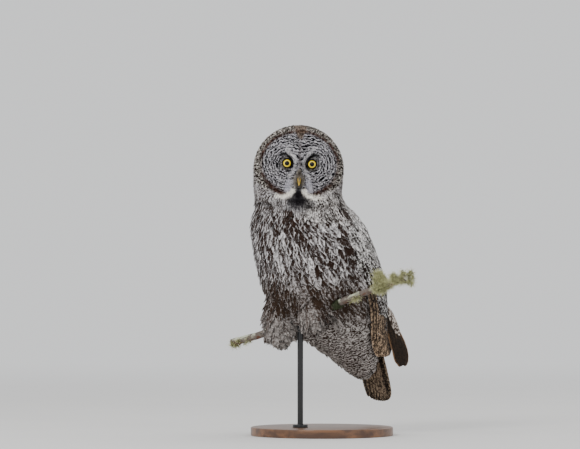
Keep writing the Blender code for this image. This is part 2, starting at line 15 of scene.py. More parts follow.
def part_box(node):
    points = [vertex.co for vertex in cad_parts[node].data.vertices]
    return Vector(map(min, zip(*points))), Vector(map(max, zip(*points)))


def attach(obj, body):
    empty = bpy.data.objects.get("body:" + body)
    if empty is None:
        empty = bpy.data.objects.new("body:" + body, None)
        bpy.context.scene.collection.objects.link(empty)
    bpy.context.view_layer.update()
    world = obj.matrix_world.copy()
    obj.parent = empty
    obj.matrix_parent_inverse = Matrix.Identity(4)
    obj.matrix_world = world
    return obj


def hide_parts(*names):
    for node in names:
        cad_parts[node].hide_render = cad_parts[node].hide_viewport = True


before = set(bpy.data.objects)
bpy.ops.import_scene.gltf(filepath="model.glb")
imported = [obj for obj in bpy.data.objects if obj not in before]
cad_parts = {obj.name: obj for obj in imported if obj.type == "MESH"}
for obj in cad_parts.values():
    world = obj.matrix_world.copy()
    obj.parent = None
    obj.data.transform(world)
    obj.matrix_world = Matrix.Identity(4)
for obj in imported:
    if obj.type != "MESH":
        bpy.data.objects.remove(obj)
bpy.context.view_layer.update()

bl_info = {
    "name": "Great Grey Owl",
    "version": (1, 0, 0),
    "blender": (4, 5, 0),
    "location": "View3D > Sidebar > Owl",
    "description": "Skin, feathers, eyes, perch and stand of a life-size great grey owl",
    "category": "Object",
}

MM = 0.001
TURN = math.tau
MOST_FACES = 200000

# The bird's own axes: where its keel stands over the floor, the way it heads, its left and up.
KEEL = np.array((-0.0225, -0.0268, 0.0))
HEADING = math.radians(40)
FORWARD = np.array((-math.sin(HEADING), -math.cos(HEADING), 0.0))
LEFT = np.array((math.cos(HEADING), -math.sin(HEADING), 0.0))
UP = np.array((0.0, 0.0, 1.0))
SIDES = (("left", 1), ("right", -1))

# The head's middle and turn. In its axes X is the viewer's right, Y goes back and Z up.
HEAD_CENTRE = KEEL + FORWARD * 0.0556 + LEFT * 0.0116 + UP * 0.5592
HEAD_TURN = np.array(Matrix.Rotation(math.radians(1.5), 3, "Z") @ Matrix.Rotation(math.radians(2.3), 3, "Y"))
DISC_HALF_WIDTH = 0.0798
DISC_HALF_HEIGHT = 0.0677
DISC_RISE = 0.0104
EYE_SPREAD = 0.0260
EYE_RISE = 0.0112
EYE_RADIUS = 0.0125
EYE_DEPTH = 0.0450

# The trunk's middle line from the shoulders down: forward and up.
TORSO = np.array((
    (0.045, 0.503), (0.045, 0.486), (0.040, 0.462), (0.020, 0.425), (0.000, 0.385), (-0.022, 0.340),
    (-0.052, 0.295), (-0.088, 0.250), (-0.123, 0.205), (-0.150, 0.165), (-0.168, 0.134), (-0.175, 0.118),
))

# The folded wing, as slices: its middle forward and up, lean, half width, reach behind, the angles of its low and
# high edge, and half its thickness.
WING = (
    (0.037, 0.476, 15, 0.099, 0.095, 82, 112, 0.0025),
    (0.0325, 0.462, 17, 0.107, 0.099, 77, 126, 0.0055),
    (0.026, 0.446, 20, 0.112, 0.102, 78, 136, 0.007),
    (0.008, 0.408, 25, 0.122, 0.108, 80, 148, 0.009),
    (-0.012, 0.366, 28, 0.127, 0.109, 82, 154, 0.01),
    (-0.038, 0.32, 30, 0.128, 0.107, 82, 156, 0.01),
    (-0.072, 0.272, 31, 0.118, 0.098, 80, 153, 0.0092),
    (-0.106, 0.23, 29, 0.095, 0.084, 77, 146, 0.008),
    (-0.139, 0.194, 27, 0.079, 0.066, 72, 136, 0.0065),
    (-0.16, 0.174, 26, 0.0715, 0.055, 72, 129, 0.005),
    (-0.172, 0.163, 25, 0.0665, 0.048, 82, 119, 0.0035),
)

# The long wing-tip feathers of the left side: front and rear edge, place to the left, height and half thickness.
# The right ones tuck in.
PRIMARIES = (
    (-0.141, -0.152, 0.079, 0.276, 0.0022),
    (-0.146, -0.173, 0.0795, 0.25, 0.0027),
    (-0.16, -0.199, 0.0795, 0.212, 0.0027),
    (-0.174, -0.222, 0.078, 0.182, 0.0024),
    (-0.184, -0.232, 0.0755, 0.161, 0.0021),
    (-0.197, -0.229, 0.074, 0.149, 0.0018),
    (-0.21, -0.223, 0.073, 0.144, 0.0013),
)
RIGHT_TUCK = 0.17

# The tail, as slices down its length: its middle forward and up, half its width and half its thickness.
TAIL = (
    (-0.134, 0.316, 0.024, 0.006),
    (-0.158, 0.266, 0.031, 0.006),
    (-0.18, 0.214, 0.035, 0.0055),
    (-0.2, 0.162, 0.038, 0.005),
    (-0.217, 0.116, 0.039, 0.0045),
    (-0.227, 0.09, 0.035, 0.004),
    (-0.232, 0.0775, 0.026, 0.0036),
    (-0.2345, 0.071, 0.013, 0.003),
)
TAIL_LEAN = 19

# The branch's line in the bird's axes: forward, left, up.
PERCH_LINE = np.array((
    (0.014, -0.3200, 0.1680),
    (0.016, -0.2154, 0.1911),
    (0.019, -0.1112, 0.2142),
    (0.021, 0.0012, 0.2499),
    (0.028, 0.1380, 0.2940),
    (0.036, 0.2520, 0.3255),
    (0.044, 0.3600, 0.3560),
))
PERCH_START = -0.205
PERCH_END = 0.285
PERCH_RADIUS = 0.0100
PERCH_TAPER = 0.22
FOOT_SIDES = (-0.057, 0.034)


def linear(hex_colour):
    """The linear colour of an sRGB hex value."""
    parts = [int(hex_colour[i:i + 2], 16) / 255 for i in (1, 3, 5)]
    return tuple(p / 12.92 if p <= 0.04045 else ((p + 0.055) / 1.055) ** 2.4 for p in parts)


def colour(name, description, value):
    """A colour that the user may change; its default is an sRGB hex value."""
    return bpy.props.FloatVectorProperty(
        name=name, description=description, default=linear(value), min=0, max=1, size=3, subtype="COLOR"
    )


def length(name, description, value):
    """A size that the user may change, in metres."""
    return bpy.props.FloatProperty(
        name=name, description=description, default=value, min=0, precision=4, unit="LENGTH", subtype="DISTANCE"
    )


def tint(name):
    """The chosen colour of a finish, as a shader takes it."""
    return (*getattr(bpy.context.scene.owl_finishes, name), 1.0)


def plumage_tones(name):
    """The chosen pale and dark colour of a part of the plumage."""
    chosen = bpy.context.scene.owl_plumage
    return np.array(getattr(chosen, f"{name}_pale")), np.array(getattr(chosen, f"{name}_dark"))


def unit(rows):
    """Each row made one long."""
    return rows / np.maximum(np.linalg.norm(rows, axis=-1, keepdims=True), 1e-9)


def ramp(value, low, high):
    """0 below low, 1 above high and a smooth rise between them; low may be above high."""
    share = np.clip((value - low) / (high - low), 0, 1)
    return share * share * (3 - 2 * share)


def on_bird(forward, left, up):
    """Points given in the bird's axes."""
    parts = np.broadcast_arrays(forward, left, up)
    return KEEL + sum(part[..., None] * way for part, way in zip(parts, (FORWARD, LEFT, UP)))


def to_bird(points):
    """Forward, left and up of each point, in the bird's axes."""
    away = points - KEEL
    return away @ FORWARD, away @ LEFT, points[..., 2]


def to_head(points):
    """Each point in the head's axes, in millimetres."""
    return (points - HEAD_CENTRE) @ HEAD_TURN / MM


def from_head(points):
    """Points given in the head's axes, in metres."""
    return HEAD_CENTRE + np.asarray(points) @ HEAD_TURN.T


def disc_reach(x, z):
    """How far out on the face each place lies, as a share of the way from its middle to its edge."""
    return np.hypot(x / (DISC_HALF_WIDTH / MM), (z - DISC_RISE / MM) / (DISC_HALF_HEIGHT / MM))


def eye_reach(x, z):
    """How far each place lies from the middle of the nearer eye, in millimetres, as seen from the front."""
    return np.hypot(np.abs(x) - EYE_SPREAD / MM, z - EYE_RISE / MM)


def stroke(across, height, line, width):
    """How much each place lies on a line drawn on the face, from 0 to 1, with soft sides."""
    place = np.stack((across, height), -1)
    nearest = np.full(across.shape, 1e9)
    for start, end in zip(line, line[1:]):
        start, way = np.array(start, float), np.array(end, float) - start
        share = np.clip(((place - start) @ way) / (way @ way), 0, 1)
        nearest = np.minimum(nearest, np.linalg.norm(place - start - share[..., None] * way, axis=-1))
    return np.exp(-(nearest / width) ** 4)


def patch(across, height, middle, size):
    """How much each place lies in an oval on the face, from 0 to 1."""
    return np.exp(-(((across - middle[0]) / size[0]) ** 2 + ((height - middle[1]) / size[1]) ** 2) ** 2)


def spline(knots, shares):
    """Points of the smooth line through knots, at shares from 0 to 1 of its spans."""
    knots = np.asarray(knots, float)
    padded = np.vstack((2 * knots[0] - knots[1], knots, 2 * knots[-1] - knots[-2]))
    place = np.clip(np.asarray(shares) * (len(knots) - 1), 0, len(knots) - 1 - 1e-9)
    span = place.astype(int)
    t = (place - span)[..., None]
    a, b, c, d = (padded[span + k] for k in range(4))
    return 0.5 * (2 * b + (c - a) * t + (2 * a - 5 * b + 4 * c - d) * t**2 + (3 * b - a - 3 * c + d) * t**3)


def middle_line(up):
    """Where the trunk's middle is at each height."""
    return np.interp(up, TORSO[::-1, 1], TORSO[::-1, 0])


def perch_frame(left):
    """Place, way along and two ways across of the branch where its line is at left."""
    lefts = np.linspace(0, 1, 400)
    table = spline(PERCH_LINE, lefts)
    share = np.interp(left, table[:, 1], lefts)
    knots = spline(PERCH_LINE, share)
    place = on_bird(knots[..., 0], knots[..., 1], knots[..., 2])
    way = unit(np.gradient(place, axis=0))
    fore = unit(FORWARD - way * (way @ FORWARD)[..., None])
    return place, way, fore, np.cross(way, fore)


def perch_radius(left):
    """The branch's radius, which tapers towards its right-hand end in the view."""
    return PERCH_RADIUS * (1 - PERCH_TAPER * (left - PERCH_START) / (PERCH_END - PERCH_START))


# Meshes.


def mesh_of(name, points, faces, smooth=True):
    """A mesh from an array of points and an array of faces with three or four corners."""
    mesh = bpy.data.meshes.new(name)
    points, faces = np.asarray(points, np.float32), np.asarray(faces, np.int32)
    mesh.vertices.add(len(points))
    mesh.vertices.foreach_set("co", points.ravel())
    mesh.loops.add(faces.size)
    mesh.loops.foreach_set("vertex_index", faces.ravel())
    mesh.polygons.add(len(faces))
    mesh.polygons.foreach_set("loop_start", np.arange(0, faces.size, faces.shape[1], dtype=np.int32))
    mesh.update(calc_edges=True)
    mesh.polygons.foreach_set("use_smooth", np.full(len(faces), smooth))
    return mesh


def shade_round(mesh):
    """Lets every face of a mesh be shaded as part of a round surface."""
    mesh.polygons.foreach_set("use_smooth", np.full(len(mesh.polygons), True))
    return mesh


def grid_faces(rows, columns, closed=False):
    """Four-cornered faces between rows of points; a closed grid joins its last column to its first."""
    k, i = np.meshgrid(np.arange(rows - 1), np.arange(columns if closed else columns - 1), indexing="ij")
    j = (i + 1) % columns
    corners = (k * columns + i, k * columns + j, (k + 1) * columns + j, (k + 1) * columns + i)
    return np.stack(corners, -1).reshape(-1, 4)


def capped(name, rings, first, last):
    """A closed mesh through rings of points, with a point that closes it at each end."""
    count, sides = rings.shape[:2]
    faces = grid_faces(count, sides, True).tolist()
    near, far, end = count * sides, count * sides + 1, (count - 1) * sides
    for i in range(sides):
        j = (i + 1) % sides
        faces += [(near, j, i), (far, end + i, end + j)]
    mesh = bpy.data.meshes.new(name)
    mesh.from_pydata(np.vstack((rings.reshape(-1, 3), first, last)).tolist(), [], faces)
    return shade_round(mesh)


def move_to(mesh, points):
    """Moves the points of a mesh to new places."""
    mesh.vertices.foreach_set("co", points.astype(np.float32).ravel())
    mesh.update()


def write_map(mesh, name, places):
    """Gives a mesh a UV map from a place for each of its points."""
    corner = np.empty(len(mesh.loops), np.int32)
    mesh.loops.foreach_get("vertex_index", corner)
    layer = mesh.uv_layers.get(name) or mesh.uv_layers.new(name=name)
    layer.data.foreach_set("uv", places[corner].astype(np.float32).ravel())


def show(mesh, name, material, replaces=()):
    """Puts a finished mesh in the scene as a piece of the owl."""
    piece = bpy.data.objects.new(name, mesh)
    mesh.name = name
    mesh.materials.clear()
    mesh.materials.append(material)
    bpy.context.scene.collection.objects.link(piece)
    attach(piece, "root")
    if replaces:
        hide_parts(*replaces)


def on_bench(mesh):
    """A passing object with the mesh in it, for modifiers to work on."""
    piece = bpy.data.objects.new("bench", mesh)
    bpy.context.scene.collection.objects.link(piece)
    return piece


def finished(piece):
    """The piece's mesh with its modifiers applied, and the piece removed."""
    made = bpy.data.meshes.new_from_object(piece.evaluated_get(bpy.context.evaluated_depsgraph_get()))
    bpy.data.objects.remove(piece)
    return made


def arrays(mesh):
    """Points, normals and triangles of a mesh as arrays."""
    mesh.calc_loop_triangles()
    points, normals = np.empty(len(mesh.vertices) * 3), np.empty(len(mesh.vertices) * 3)
    triangles = np.empty(len(mesh.loop_triangles) * 3, np.int32)
    mesh.vertices.foreach_get("co", points)
    mesh.vertices.foreach_get("normal", normals)
    mesh.loop_triangles.foreach_get("vertices", triangles)
    return points.reshape(-1, 3), normals.reshape(-1, 3), triangles.reshape(-1, 3)


def taken_up(mesh):
    """A bmesh from a mesh."""
    shape = bmesh.new()
    shape.from_mesh(mesh)
    return shape


def put_down(shape, name):
    """A mesh from a bmesh, which is used up."""
    mesh = bpy.data.meshes.new(name)
    shape.to_mesh(mesh)
    shape.free()
    return mesh


def merged_copy(node):
    """A copy of a CAD node's mesh with its loose triangles joined up."""
    shape = taken_up(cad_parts[node].data)
    bmesh.ops.remove_doubles(shape, verts=shape.verts, dist=1e-5)
    shape.normal_update()
    return shape


def grown(shape, distance):
    """Moves each corner out along its normal; distance may be negative."""
    for vert, way in [(vert, vert.normal.copy()) for vert in shape.verts]:
        vert.co += way * distance
    return shape


def joined(shapes):
    """One mesh from several bmeshes."""
    whole = bmesh.new()
    for shape in shapes:
        whole.from_mesh(put_down(shape, "part"))
    return put_down(whole, "joined")


def fused(mesh, grid, rounds):
    """The outside of a mesh of overlapping parts as one even, softened surface."""
    piece = on_bench(mesh)
    remesh = piece.modifiers.new("even", "REMESH")
    remesh.mode = "VOXEL"
    remesh.voxel_size = grid
    soften = piece.modifiers.new("soften", "SMOOTH")
    soften.factor = 0.5
    soften.iterations = rounds
    return finished(piece)


# The CAD nodes that the coat lies on. A label is a node's place in PARTS.
FLESH = ("head", "neck", "trunk", "leg_left", "leg_right", "foot_left", "foot_right")
WINGS = ("wing_left", "wing_right")
PARTS = FLESH + WINGS
Hull = namedtuple("Hull", "points normals triangles tree labels")


def is_part(labels, *parts):
    """Where the labels are those of the named parts."""
    return np.isin(labels, [PARTS.index(part) for part in parts])


# The length of branch that the belly feathers hide, from and to along it, the mesh of it, and the room over it.
BURIED = (-0.098, 0.052)
BURIED_RINGS, BURIED_SIDES = 24, 16
BURIED_ROOM = 0.0012


def buried_branch():
    """That length as a closed rod, so that the feathers pass over it without a hollow."""
    place, _, fore, over = perch_frame(np.linspace(*BURIED, BURIED_RINGS))
    turn = np.linspace(0, TURN, BURIED_SIDES, endpoint=False)
    radius = PERCH_RADIUS + BURIED_ROOM
    shape = bmesh.new()
    rings = [
        [shape.verts.new(p + (f * math.cos(a) + o * math.sin(a)) * radius) for a in turn]
        for p, f, o in zip(place, fore, over)
    ]
    for low, high in zip(rings, rings[1:]):
        for i in range(BURIED_SIDES):
            shape.faces.new((low[i], low[i - 1], high[i - 1], high[i]))
    shape.faces.new(rings[0])
    shape.faces.new(rings[-1][::-1])
    bmesh.ops.recalc_face_normals(shape, faces=shape.faces)
    return shape


def rounded_back(points):
    """The edge of the face eased backwards, so that the head is round from the side too."""
    x, y, z = to_head(points).T
    back = 17.0 * ramp(disc_reach(x, z), 0.50, 1.12) ** 1.3 * ramp(y, -6, -52) * ramp(z, -56, -12)
    return points + (np.array((0, 1, 0)) @ HEAD_TURN.T) * (back * MM)[:, None]


def fluffed(points):
    """The feathers drawn out along the brows and over the bill's root, and the fold under the chin filled."""
    x, y, z = to_head(points).T
    brow = 5.5 * np.exp(-(x / 17) ** 2 - ((z - 8) / 34) ** 2) + 9.0 * np.exp(-(x / 12) ** 2 - ((z + 8) / 13) ** 2)
    forth = brow * ramp(eye_reach(x, z), 10, 17) * ramp(y, -34, -48)
    chin = 5 * np.minimum(np.abs(x) / 40, 1.4) - 60.0
    slope = chin + (2.5 * (x / 40) ** 2 - 68.0 - chin) * ramp(z, -32, -62)
    fill = np.clip(y - slope, 0, 16) * ramp(z, -30, -42) * ramp(z, -72, -64)
    fill = fill * ramp(y, -30, -46) * ramp(np.abs(x), 78, 52)
    return points + (np.array((0, -1, 0)) @ HEAD_TURN.T) * (np.maximum(forth, fill) * MM)[:, None]


# How far parts are grown so that they overlap, the grid that they are fused on, and how far that is let in again.
OVERLAP = 0.9 * MM
HULL_GRID = 2.6 * MM
HULL_LET_IN = 0.7 * MM


@cache
def hull():
    """The bird's outline with no gaps between its parts: the surface that the feathers' tips reach."""
    mesh = fused(joined([grown(merged_copy(node), OVERLAP) for node in PARTS] + [buried_branch()]), HULL_GRID, 5)
    points, normals, triangles = arrays(mesh)
    move_to(mesh, fluffed(rounded_back(points - normals * HULL_LET_IN)))
    points, normals, triangles = arrays(fused(mesh, HULL_GRID, 3))
    tree = BVHTree.FromPolygons(points.tolist(), triangles.tolist())
    part_points, part_faces, owner = [], [], []
    for index, node in enumerate(PARTS):
        own_points, _, own_faces = arrays(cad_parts[node].data)
        part_faces.append(own_faces + sum(len(p) for p in part_points))
        part_points.append(own_points)
        owner += [index] * len(own_faces)
    parts = BVHTree.FromPolygons(np.vstack(part_points).tolist(), np.vstack(part_faces).tolist())
    labels = np.array([owner[parts.find_nearest(p)[2]] for p in points[triangles].mean(1).tolist()])
    return Hull(points, normals, triangles, tree, labels)


def snapped(points):
    """The nearest place on the hull to each point, the smooth normal there and the triangle's number."""
    found = [hull().tree.find_nearest(p) for p in points.tolist()]
    index = np.array([f[2] for f in found])
    return np.array([f[0][:] for f in found]), unit(hull().normals[hull().triangles[index]].mean(1)), index


# How far up and down the trunk's slope is measured, and the height under its top where it has none.
SLOPE_STEP = 0.01
SHOULDER_DROP = 0.02


def lie(points):
    """The way that feathers point at each place: out from the eyes on the face, then back and down."""
    head = to_head(points)
    x, y, z = head.T
    ring = np.zeros_like(head)
    for side in (1, -1):
        away = np.stack((x - side * EYE_SPREAD / MM, np.zeros_like(x), z - EYE_RISE / MM), -1)
        ring += away / (np.linalg.norm(away, axis=1, keepdims=True) ** 2.6 + 40)
    from_bill = np.stack((x, 0 * x, z + 14), -1)
    ring = unit(ring) + 0.35 * unit(from_bill) * np.exp(-np.linalg.norm(from_bill, axis=1) / 25)[:, None]
    outward = unit(np.stack((x, 0 * x, z - DISC_RISE / MM), -1))
    back = np.clip((y + 58) / 120, 0, 1)[:, None]
    hood = outward * (1 - back) ** 2 * 0.5 + np.array((0, 1, 0)) * (1 - 0.5 * back)
    hood = hood + np.array((0, 0, -1)) * (0.12 + 1.1 * back + 0.5 * ramp(z, 40, -30)[:, None])
    face = (ramp(disc_reach(x, z), 1.05, 0.96) * ramp(y, -20, -30))[:, None]
    on_head = (unit(ring) * face + unit(hood) * (1 - face)) @ HEAD_TURN.T
    _, left, up = to_bird(points)
    slope = (middle_line(up + SLOPE_STEP) - middle_line(up - SLOPE_STEP)) / (2 * SLOPE_STEP)
    slope = np.where(up > TORSO[0, 1] - SHOULDER_DROP, 0.0, np.clip(slope, 0, 1.3))
    spread = np.clip(left / 0.12, -1, 1) * (ramp(up, 0.38, 0.50) * 0.25 - ramp(up, 0.30, 0.16) * 0.35)
    on_body = unit(-UP - FORWARD * slope[:, None] + LEFT * spread[:, None])
    low = ramp(up, 0.485, 0.530)[:, None]
    return unit(unit(on_head) * low + on_body * (1 - low))


# Markings, the same for skin and coat.

# A part's pale and dark colour, and how strongly each mark shows: the shaft streak's half width, the bars and
# how many of them lie along a feather, the mottling, the rings of the face and the shade over all. A real feather
# of the back or wing has bars a few millimetres apart. They would be too fine to show, so two to four are drawn.
Layer = namedtuple("Layer", "pale dark streak bars count mottle ring shade")
COAT = {
    "breast": Layer("#EAE7E8", "#2B1F19", 0.57, 0.28, 3.5, 0.44, 0, 0.18),
    "belly": Layer("#B4AEAC", "#33271F", 0.32, 0.5, 4, 0.62, 0, 0.32),
    "vent": Layer("#CAC4C0", "#32261F", -1, 0, 3, 0.4, 1.15, 0.22),
    "back": Layer("#DCD7D3", "#261A13", 0.32, 0.95, 2.6, 0.34, 0, 0.08),
    "hood": Layer("#DED9D7", "#1F140E", 0.2, 1, 2.3, 0.66, 0, 0.34),
    "shoulder": Layer("#FEF9F5", "#20140D", 0.34, 0.95, 2.4, 0.5, 0, 0.18),
    "wing": Layer("#FCF9F7", "#1B110B", 0.32, 0.95, 2.4, 0.45, 0, 0.02),
    "leg": Layer("#A6A09C", "#3C302A", 0.1, 0.6, 3.5, 0.4, 0, 0.08),
    "toe": Layer("#A79F98", "#5A4F48", -1, 0.3, 2, 0.3, 0, 0.05),
    "disc": Layer("#C8C5C9", "#0B090C", -1, 0, 1, 0.6, 1.2, 0.28),
    "crown": Layer("#FAF0E4", "#120A06", 0.15, 0.6, 1.9, 0.6, 1.4, 0.62),
    "ruff": Layer("#FAF2E8", "#150C07", -1, 0, 1.7, 0.8, 1.4, 0.72),
    "notch": Layer("#6E5A4C", "#170E08", -1, 0, 1, 0.9, 0, 0.45),
    "rim": Layer("#4E3226", "#160D0C", -1, 0, 1, 0.8, 0, 0.62),
    "brow": Layer("#DAD8D9", "#4E4A52", -1, 0, 1, 0.9, 0.4, 0.06),
    "seam": Layer("#8C8687", "#1A1718", -1, 0, 1, 0.9, 0.3, 0.4),
    "lore": Layer("#8D867C", "#3F382F", -1, 0, 1, 0.7, 0, 0.35),
    "cheek": Layer("#C2C0C8", "#5E5A62", -1, 0, 1, 0.6, 0.3, 0.02),
    "moustache": Layer("#FBF7EC", "#A89C8C", -1, 0, 1, 0.55, 0, 0),
    "bib": Layer("#242124", "#09080A", -1, 0, 1, 0.4, 0, 0.55),
    "lid": Layer("#161415", "#050505", -1, 0, 1, 0.3, 0, 0.6),
    "lid_fold": Layer("#A8A297", "#4A443E", -1, 0, 1, 0.7, 0.5, 0.1),
}
# How far apart the rings round the eyes lie in millimetres, the waved bars of the vent in metres, and how many
# spots go round the face.
RING_PITCH = 5.6
VENT_PITCH = 0.0062
RUFF_SPOTS = 62
# Lines drawn on the face, through places across and up from its middle in millimetres.
BROW_LINE = ((28, 42), (14.4, 26), (9.0, 15), (10.0, 8), (13.5, -6), (20, -15))
CHEEK_LINE = ((20, -28), (23, -46))
MOUSTACHE_LINE = ((11, -45), (18, -54), (31, -59), (45, -58))
COMMA_LINE = ((38.5, 29), (29, 30.2), (21, 24.2), (16.5, 15.2), (16.5, 5))
SEAM_LINE = ((0, 52), (0, 20), (0, 0), (0, -9))
RING_FADE = 11.0
# The radius of the line round the trunk that streaks are measured on, in metres.
GIRTH_RADIUS = 0.11


def eye_distance(x, z):
    """How far each place is from the nearer eye, in millimetres, smooth between the two."""
    near = [np.hypot(x - side * EYE_SPREAD / MM, z - EYE_RISE / MM) for side in (1, -1)]
    return -RING_FADE * np.log(np.exp(-near[0] / RING_FADE) + np.exp(-near[1] / RING_FADE))


def wander(places, seed):
    """Smooth noise, from about -1 to 1, at each place."""
    return np.array([noise.noise(place) for place in (places + seed).tolist()]) * 1.7


def rump_line(up):
    """How far forward the line lies that parts the rump and tail coverts from the vent, at each height."""
    return -0.125 - 0.2 * (0.34 - up)


def around_body(points):
    """Distance round the trunk and height of each place in metres: across the streaks and along them."""
    forward, left, up = to_bird(points)
    return np.stack((np.arctan2(left, forward - middle_line(up)) * GIRTH_RADIUS, up), -1)


def layer_weights(points, labels, shake):
    """How far each part of the plumage covers the ones before it, from 0 to 1 at each place.

    x, y and z are millimetres from the head's middle; forward, left and up are metres from the keel.
    """
    x, y, z = to_head(points).T
    forward, left, up = to_bird(points)
    x, z = x + 0.8 * shake, z + 1.0 * np.roll(shake, 7)
    spread, rho, eye = np.abs(x), disc_reach(x, z), eye_reach(x, z)
    front = ramp(y, -15, -32)
    head = ramp(up, 0.500, 0.520)
    behind = ramp(forward - middle_line(up), -0.010, -0.045)
    rump = ramp(forward - rump_line(up), 0.006, -0.006)
    vent = np.maximum(ramp(up, 0.262, 0.222), ramp(forward, -0.085, -0.105) * ramp(up, 0.335, 0.30))
    rim = np.exp(-((rho - 1.01) / (0.055 + 0.035 * ramp(z, -15, -40))) ** 4)
    broken = np.clip(1.0 + 0.5 * wander(points * 130, 5.0) - 0.4 * np.exp(-(z / 22) ** 2), 0, 1)
    bib = np.maximum(patch(x, z, (0, -55), (13.0, 18)), patch(x, z, (0, -69), (33 + 14 * shake, 19)))
    wedge = spread - np.clip(z - 62, 0, 40) * 0.42
    notch = spread - np.clip(z - 56, 0, 40) * 0.42
    return (
        ("belly", ramp(up, 0.36, 0.29)),
        ("vent", vent * (1 - rump)),
        ("back", np.maximum(behind * ramp(up, 0.26, 0.30), rump)),
        ("shoulder", ramp(left, 0.055, 0.075) * ramp(up, 0.44, 0.455) * (1 - behind)),
        ("hood", head),
        ("breast", head * ramp(z, -28, -46) * 0.85),
        ("wing", is_part(labels, *WINGS) * 1.0),
        ("leg", is_part(labels, "leg_left", "leg_right") * 1.0),
        ("toe", is_part(labels, "foot_left", "foot_right") * 1.0),
        ("crown", head * ramp(z, 52, 64) * ramp(spread, 62, 45) * (0.15 + 0.85 * ramp(y, 20, -25))),
        ("ruff", head * ramp(rho, 1.26, 1.14) * ramp(y, 10, -18) * ramp(z, -52, -38)),
        ("disc", ramp(rho, 1.02, 0.97) * front),
        ("crown", ramp(wedge, 3.0, -1.0) * ramp(z, 62, 66) * front),
        ("seam", stroke(spread, z, SEAM_LINE, 3.0) * front * 0.8),
        ("brow", stroke(spread, z + 1.2 * shake, BROW_LINE, 4.0) * front),
        ("cheek", stroke(spread, z, CHEEK_LINE, 7.5) * front),
        ("lore", patch(spread, z, (6.5, -23), (7.0, 12)) * front),
        ("rim", rim * front * ramp(z, -60, -52) * broken),
        ("notch", ramp(notch, 4.0, -1.0) * ramp(z, 56, 66) * ramp(y, 0, -25) * 0.85),
        ("bib", bib * ramp(y, 0, -20)),
        ("moustache", stroke(spread, z + 2.6 * shake, MOUSTACHE_LINE, 5.0) * front),
        ("lid_fold", ramp(eye, 14.0, 12.6) * front * 0.8),
        ("lid", stroke(spread, z, COMMA_LINE, 3.1) * front),
        ("lid", ramp(eye, 11.9, 10.7) * front),
    )


def markings(points, labels, chance):
    """Colours and marks of skin or feathers at each place, as the attributes that the materials read."""
    x, _, z = to_head(points).T
    forward, left, up = to_bird(points)
    shake = np.where(up > 0.47, wander(points * 210, 41.0), 0)
    pale, dark = (np.tile(tone, (len(points), 1)) for tone in plumage_tones("breast"))
    numbers = np.tile(COAT["breast"][2:], (len(points), 1)).astype(float)
    for name, weight in layer_weights(points, labels, shake):
        share = weight[:, None]
        own_pale, own_dark = plumage_tones(name)
        pale += (own_pale - pale) * share
        dark += (own_dark - dark) * share
        numbers += (np.array(COAT[name][2:]) - numbers) * share
    x, z = x + 0.8 * shake, z + 1.0 * np.roll(shake, 7)
    rho = disc_reach(x, z)
    is_wing = is_part(labels, *WINGS)
    streak, bars, count, mottle, ring, shade = numbers.T
    # Streaks and shade drift over the coat in long patches that run down the body.
    body = around_body(points)
    flow = wander(np.c_[body * (66, 12), 0 * up], 3.0) + 0.6 * wander(np.c_[body * (135, 22), 0 * up], 9.0)
    cloud = wander(points * 24, 17.0)
    streaked = (streak > 0.05) * (1 - is_wing * 0.6)
    streak = streak * (0.7 + 0.6 * chance) + 0.38 * flow * streaked
    # Painted shade: the band just under the belly, round the branch, is darkened.
    shade_under_belly = ramp(up, 0.215, 0.25) * ramp(up, 0.33, 0.29) * (1 - is_wing)
    shade = shade + (0.08 * flow + 0.10 * cloud) * streaked + 0.26 * shade_under_belly
    bars = bars * (0.75 + 0.5 * chance)
    ring = ring * (0.9 + 0.35 * wander(points * 60, 31.0))
    mottle = mottle * (1 + 0.35 * ring * ramp(z, 10, -30))
    # Wings and shoulders are blotched, and the wing darkens towards its tip.
    head = ramp(up, 0.500, 0.520)
    blotch = wander(points * 95, 51.0) * np.clip(is_wing + ramp(left, 0.055, 0.075) * (1 - head), 0, 1)
    shade = shade + 0.34 * blotch + 0.22 * is_wing * ramp(up, 0.42, 0.33)
    # The waves are rings round the eyes, spots round the face and on the crown, and bars on the vent.
    on_head = up > 0.4
    wave = np.where(on_head, eye_distance(x, z) / RING_PITCH, (up * 0.8 + forward * 0.5) / VENT_PITCH)
    spots = np.arctan2(x, z - DISC_RISE / MM) * RUFF_SPOTS / TURN + 0.8 * wander(points * 85, 23.0)
    wave = np.where((rho > 1.03) & on_head, spots, wave)
    wave = np.where((z > 52) & on_head & (rho > 1.03), 0.25 + 0.60 * wander(points * 175, 13.0), wave)
    ones = np.ones(len(points))
    return {
        "pale": np.c_[pale, ones],
        "dark": np.c_[dark, ones],
        "mark": np.stack((streak, bars, count, mottle), -1),
        "spot": np.stack((wave, ring, (chance * 7.31) % 1, shade), -1),
    }


def write_marks(mesh, marks):
    """Stores the markings on a mesh's points."""
    for name, values in marks.items():
        layer = mesh.attributes.new(name, "FLOAT_COLOR", "POINT")
        layer.data.foreach_set("color", values.astype(np.float32).ravel())


# Materials.


def add(tree, kind, given):
    """Adds a node with its settings, named in small letters, and its inputs, by value or by a socket to link from."""
    node = tree.nodes.new(kind)
    for name, value in given.items():
        if isinstance(name, str) and name.islower():
            setattr(node, name, value)
        elif isinstance(value, bpy.types.NodeSocket):
            tree.links.new(value, node.inputs[name])
        else:
            node.inputs[name].default_value = value
    return node


def outlet(made, text):
    """The socket that a text names: fine.0 is output 0 of the node named fine, and so is fine."""
    name, _, output = text.partition(".")
    return made[name].outputs[int(output or 0)]


# Kinds of node that are used over and over, with their settings and the inputs that a row fills in order.
RANGE = ("MapRange", {"interpolation_type": "SMOOTHSTEP"}, range(5))
NOISE = ("TexNoise", {}, ("Vector", "Scale", "Detail", "Roughness"))
BLEND = ("Mix", {"data_type": "RGBA"}, (0, 6, 7))


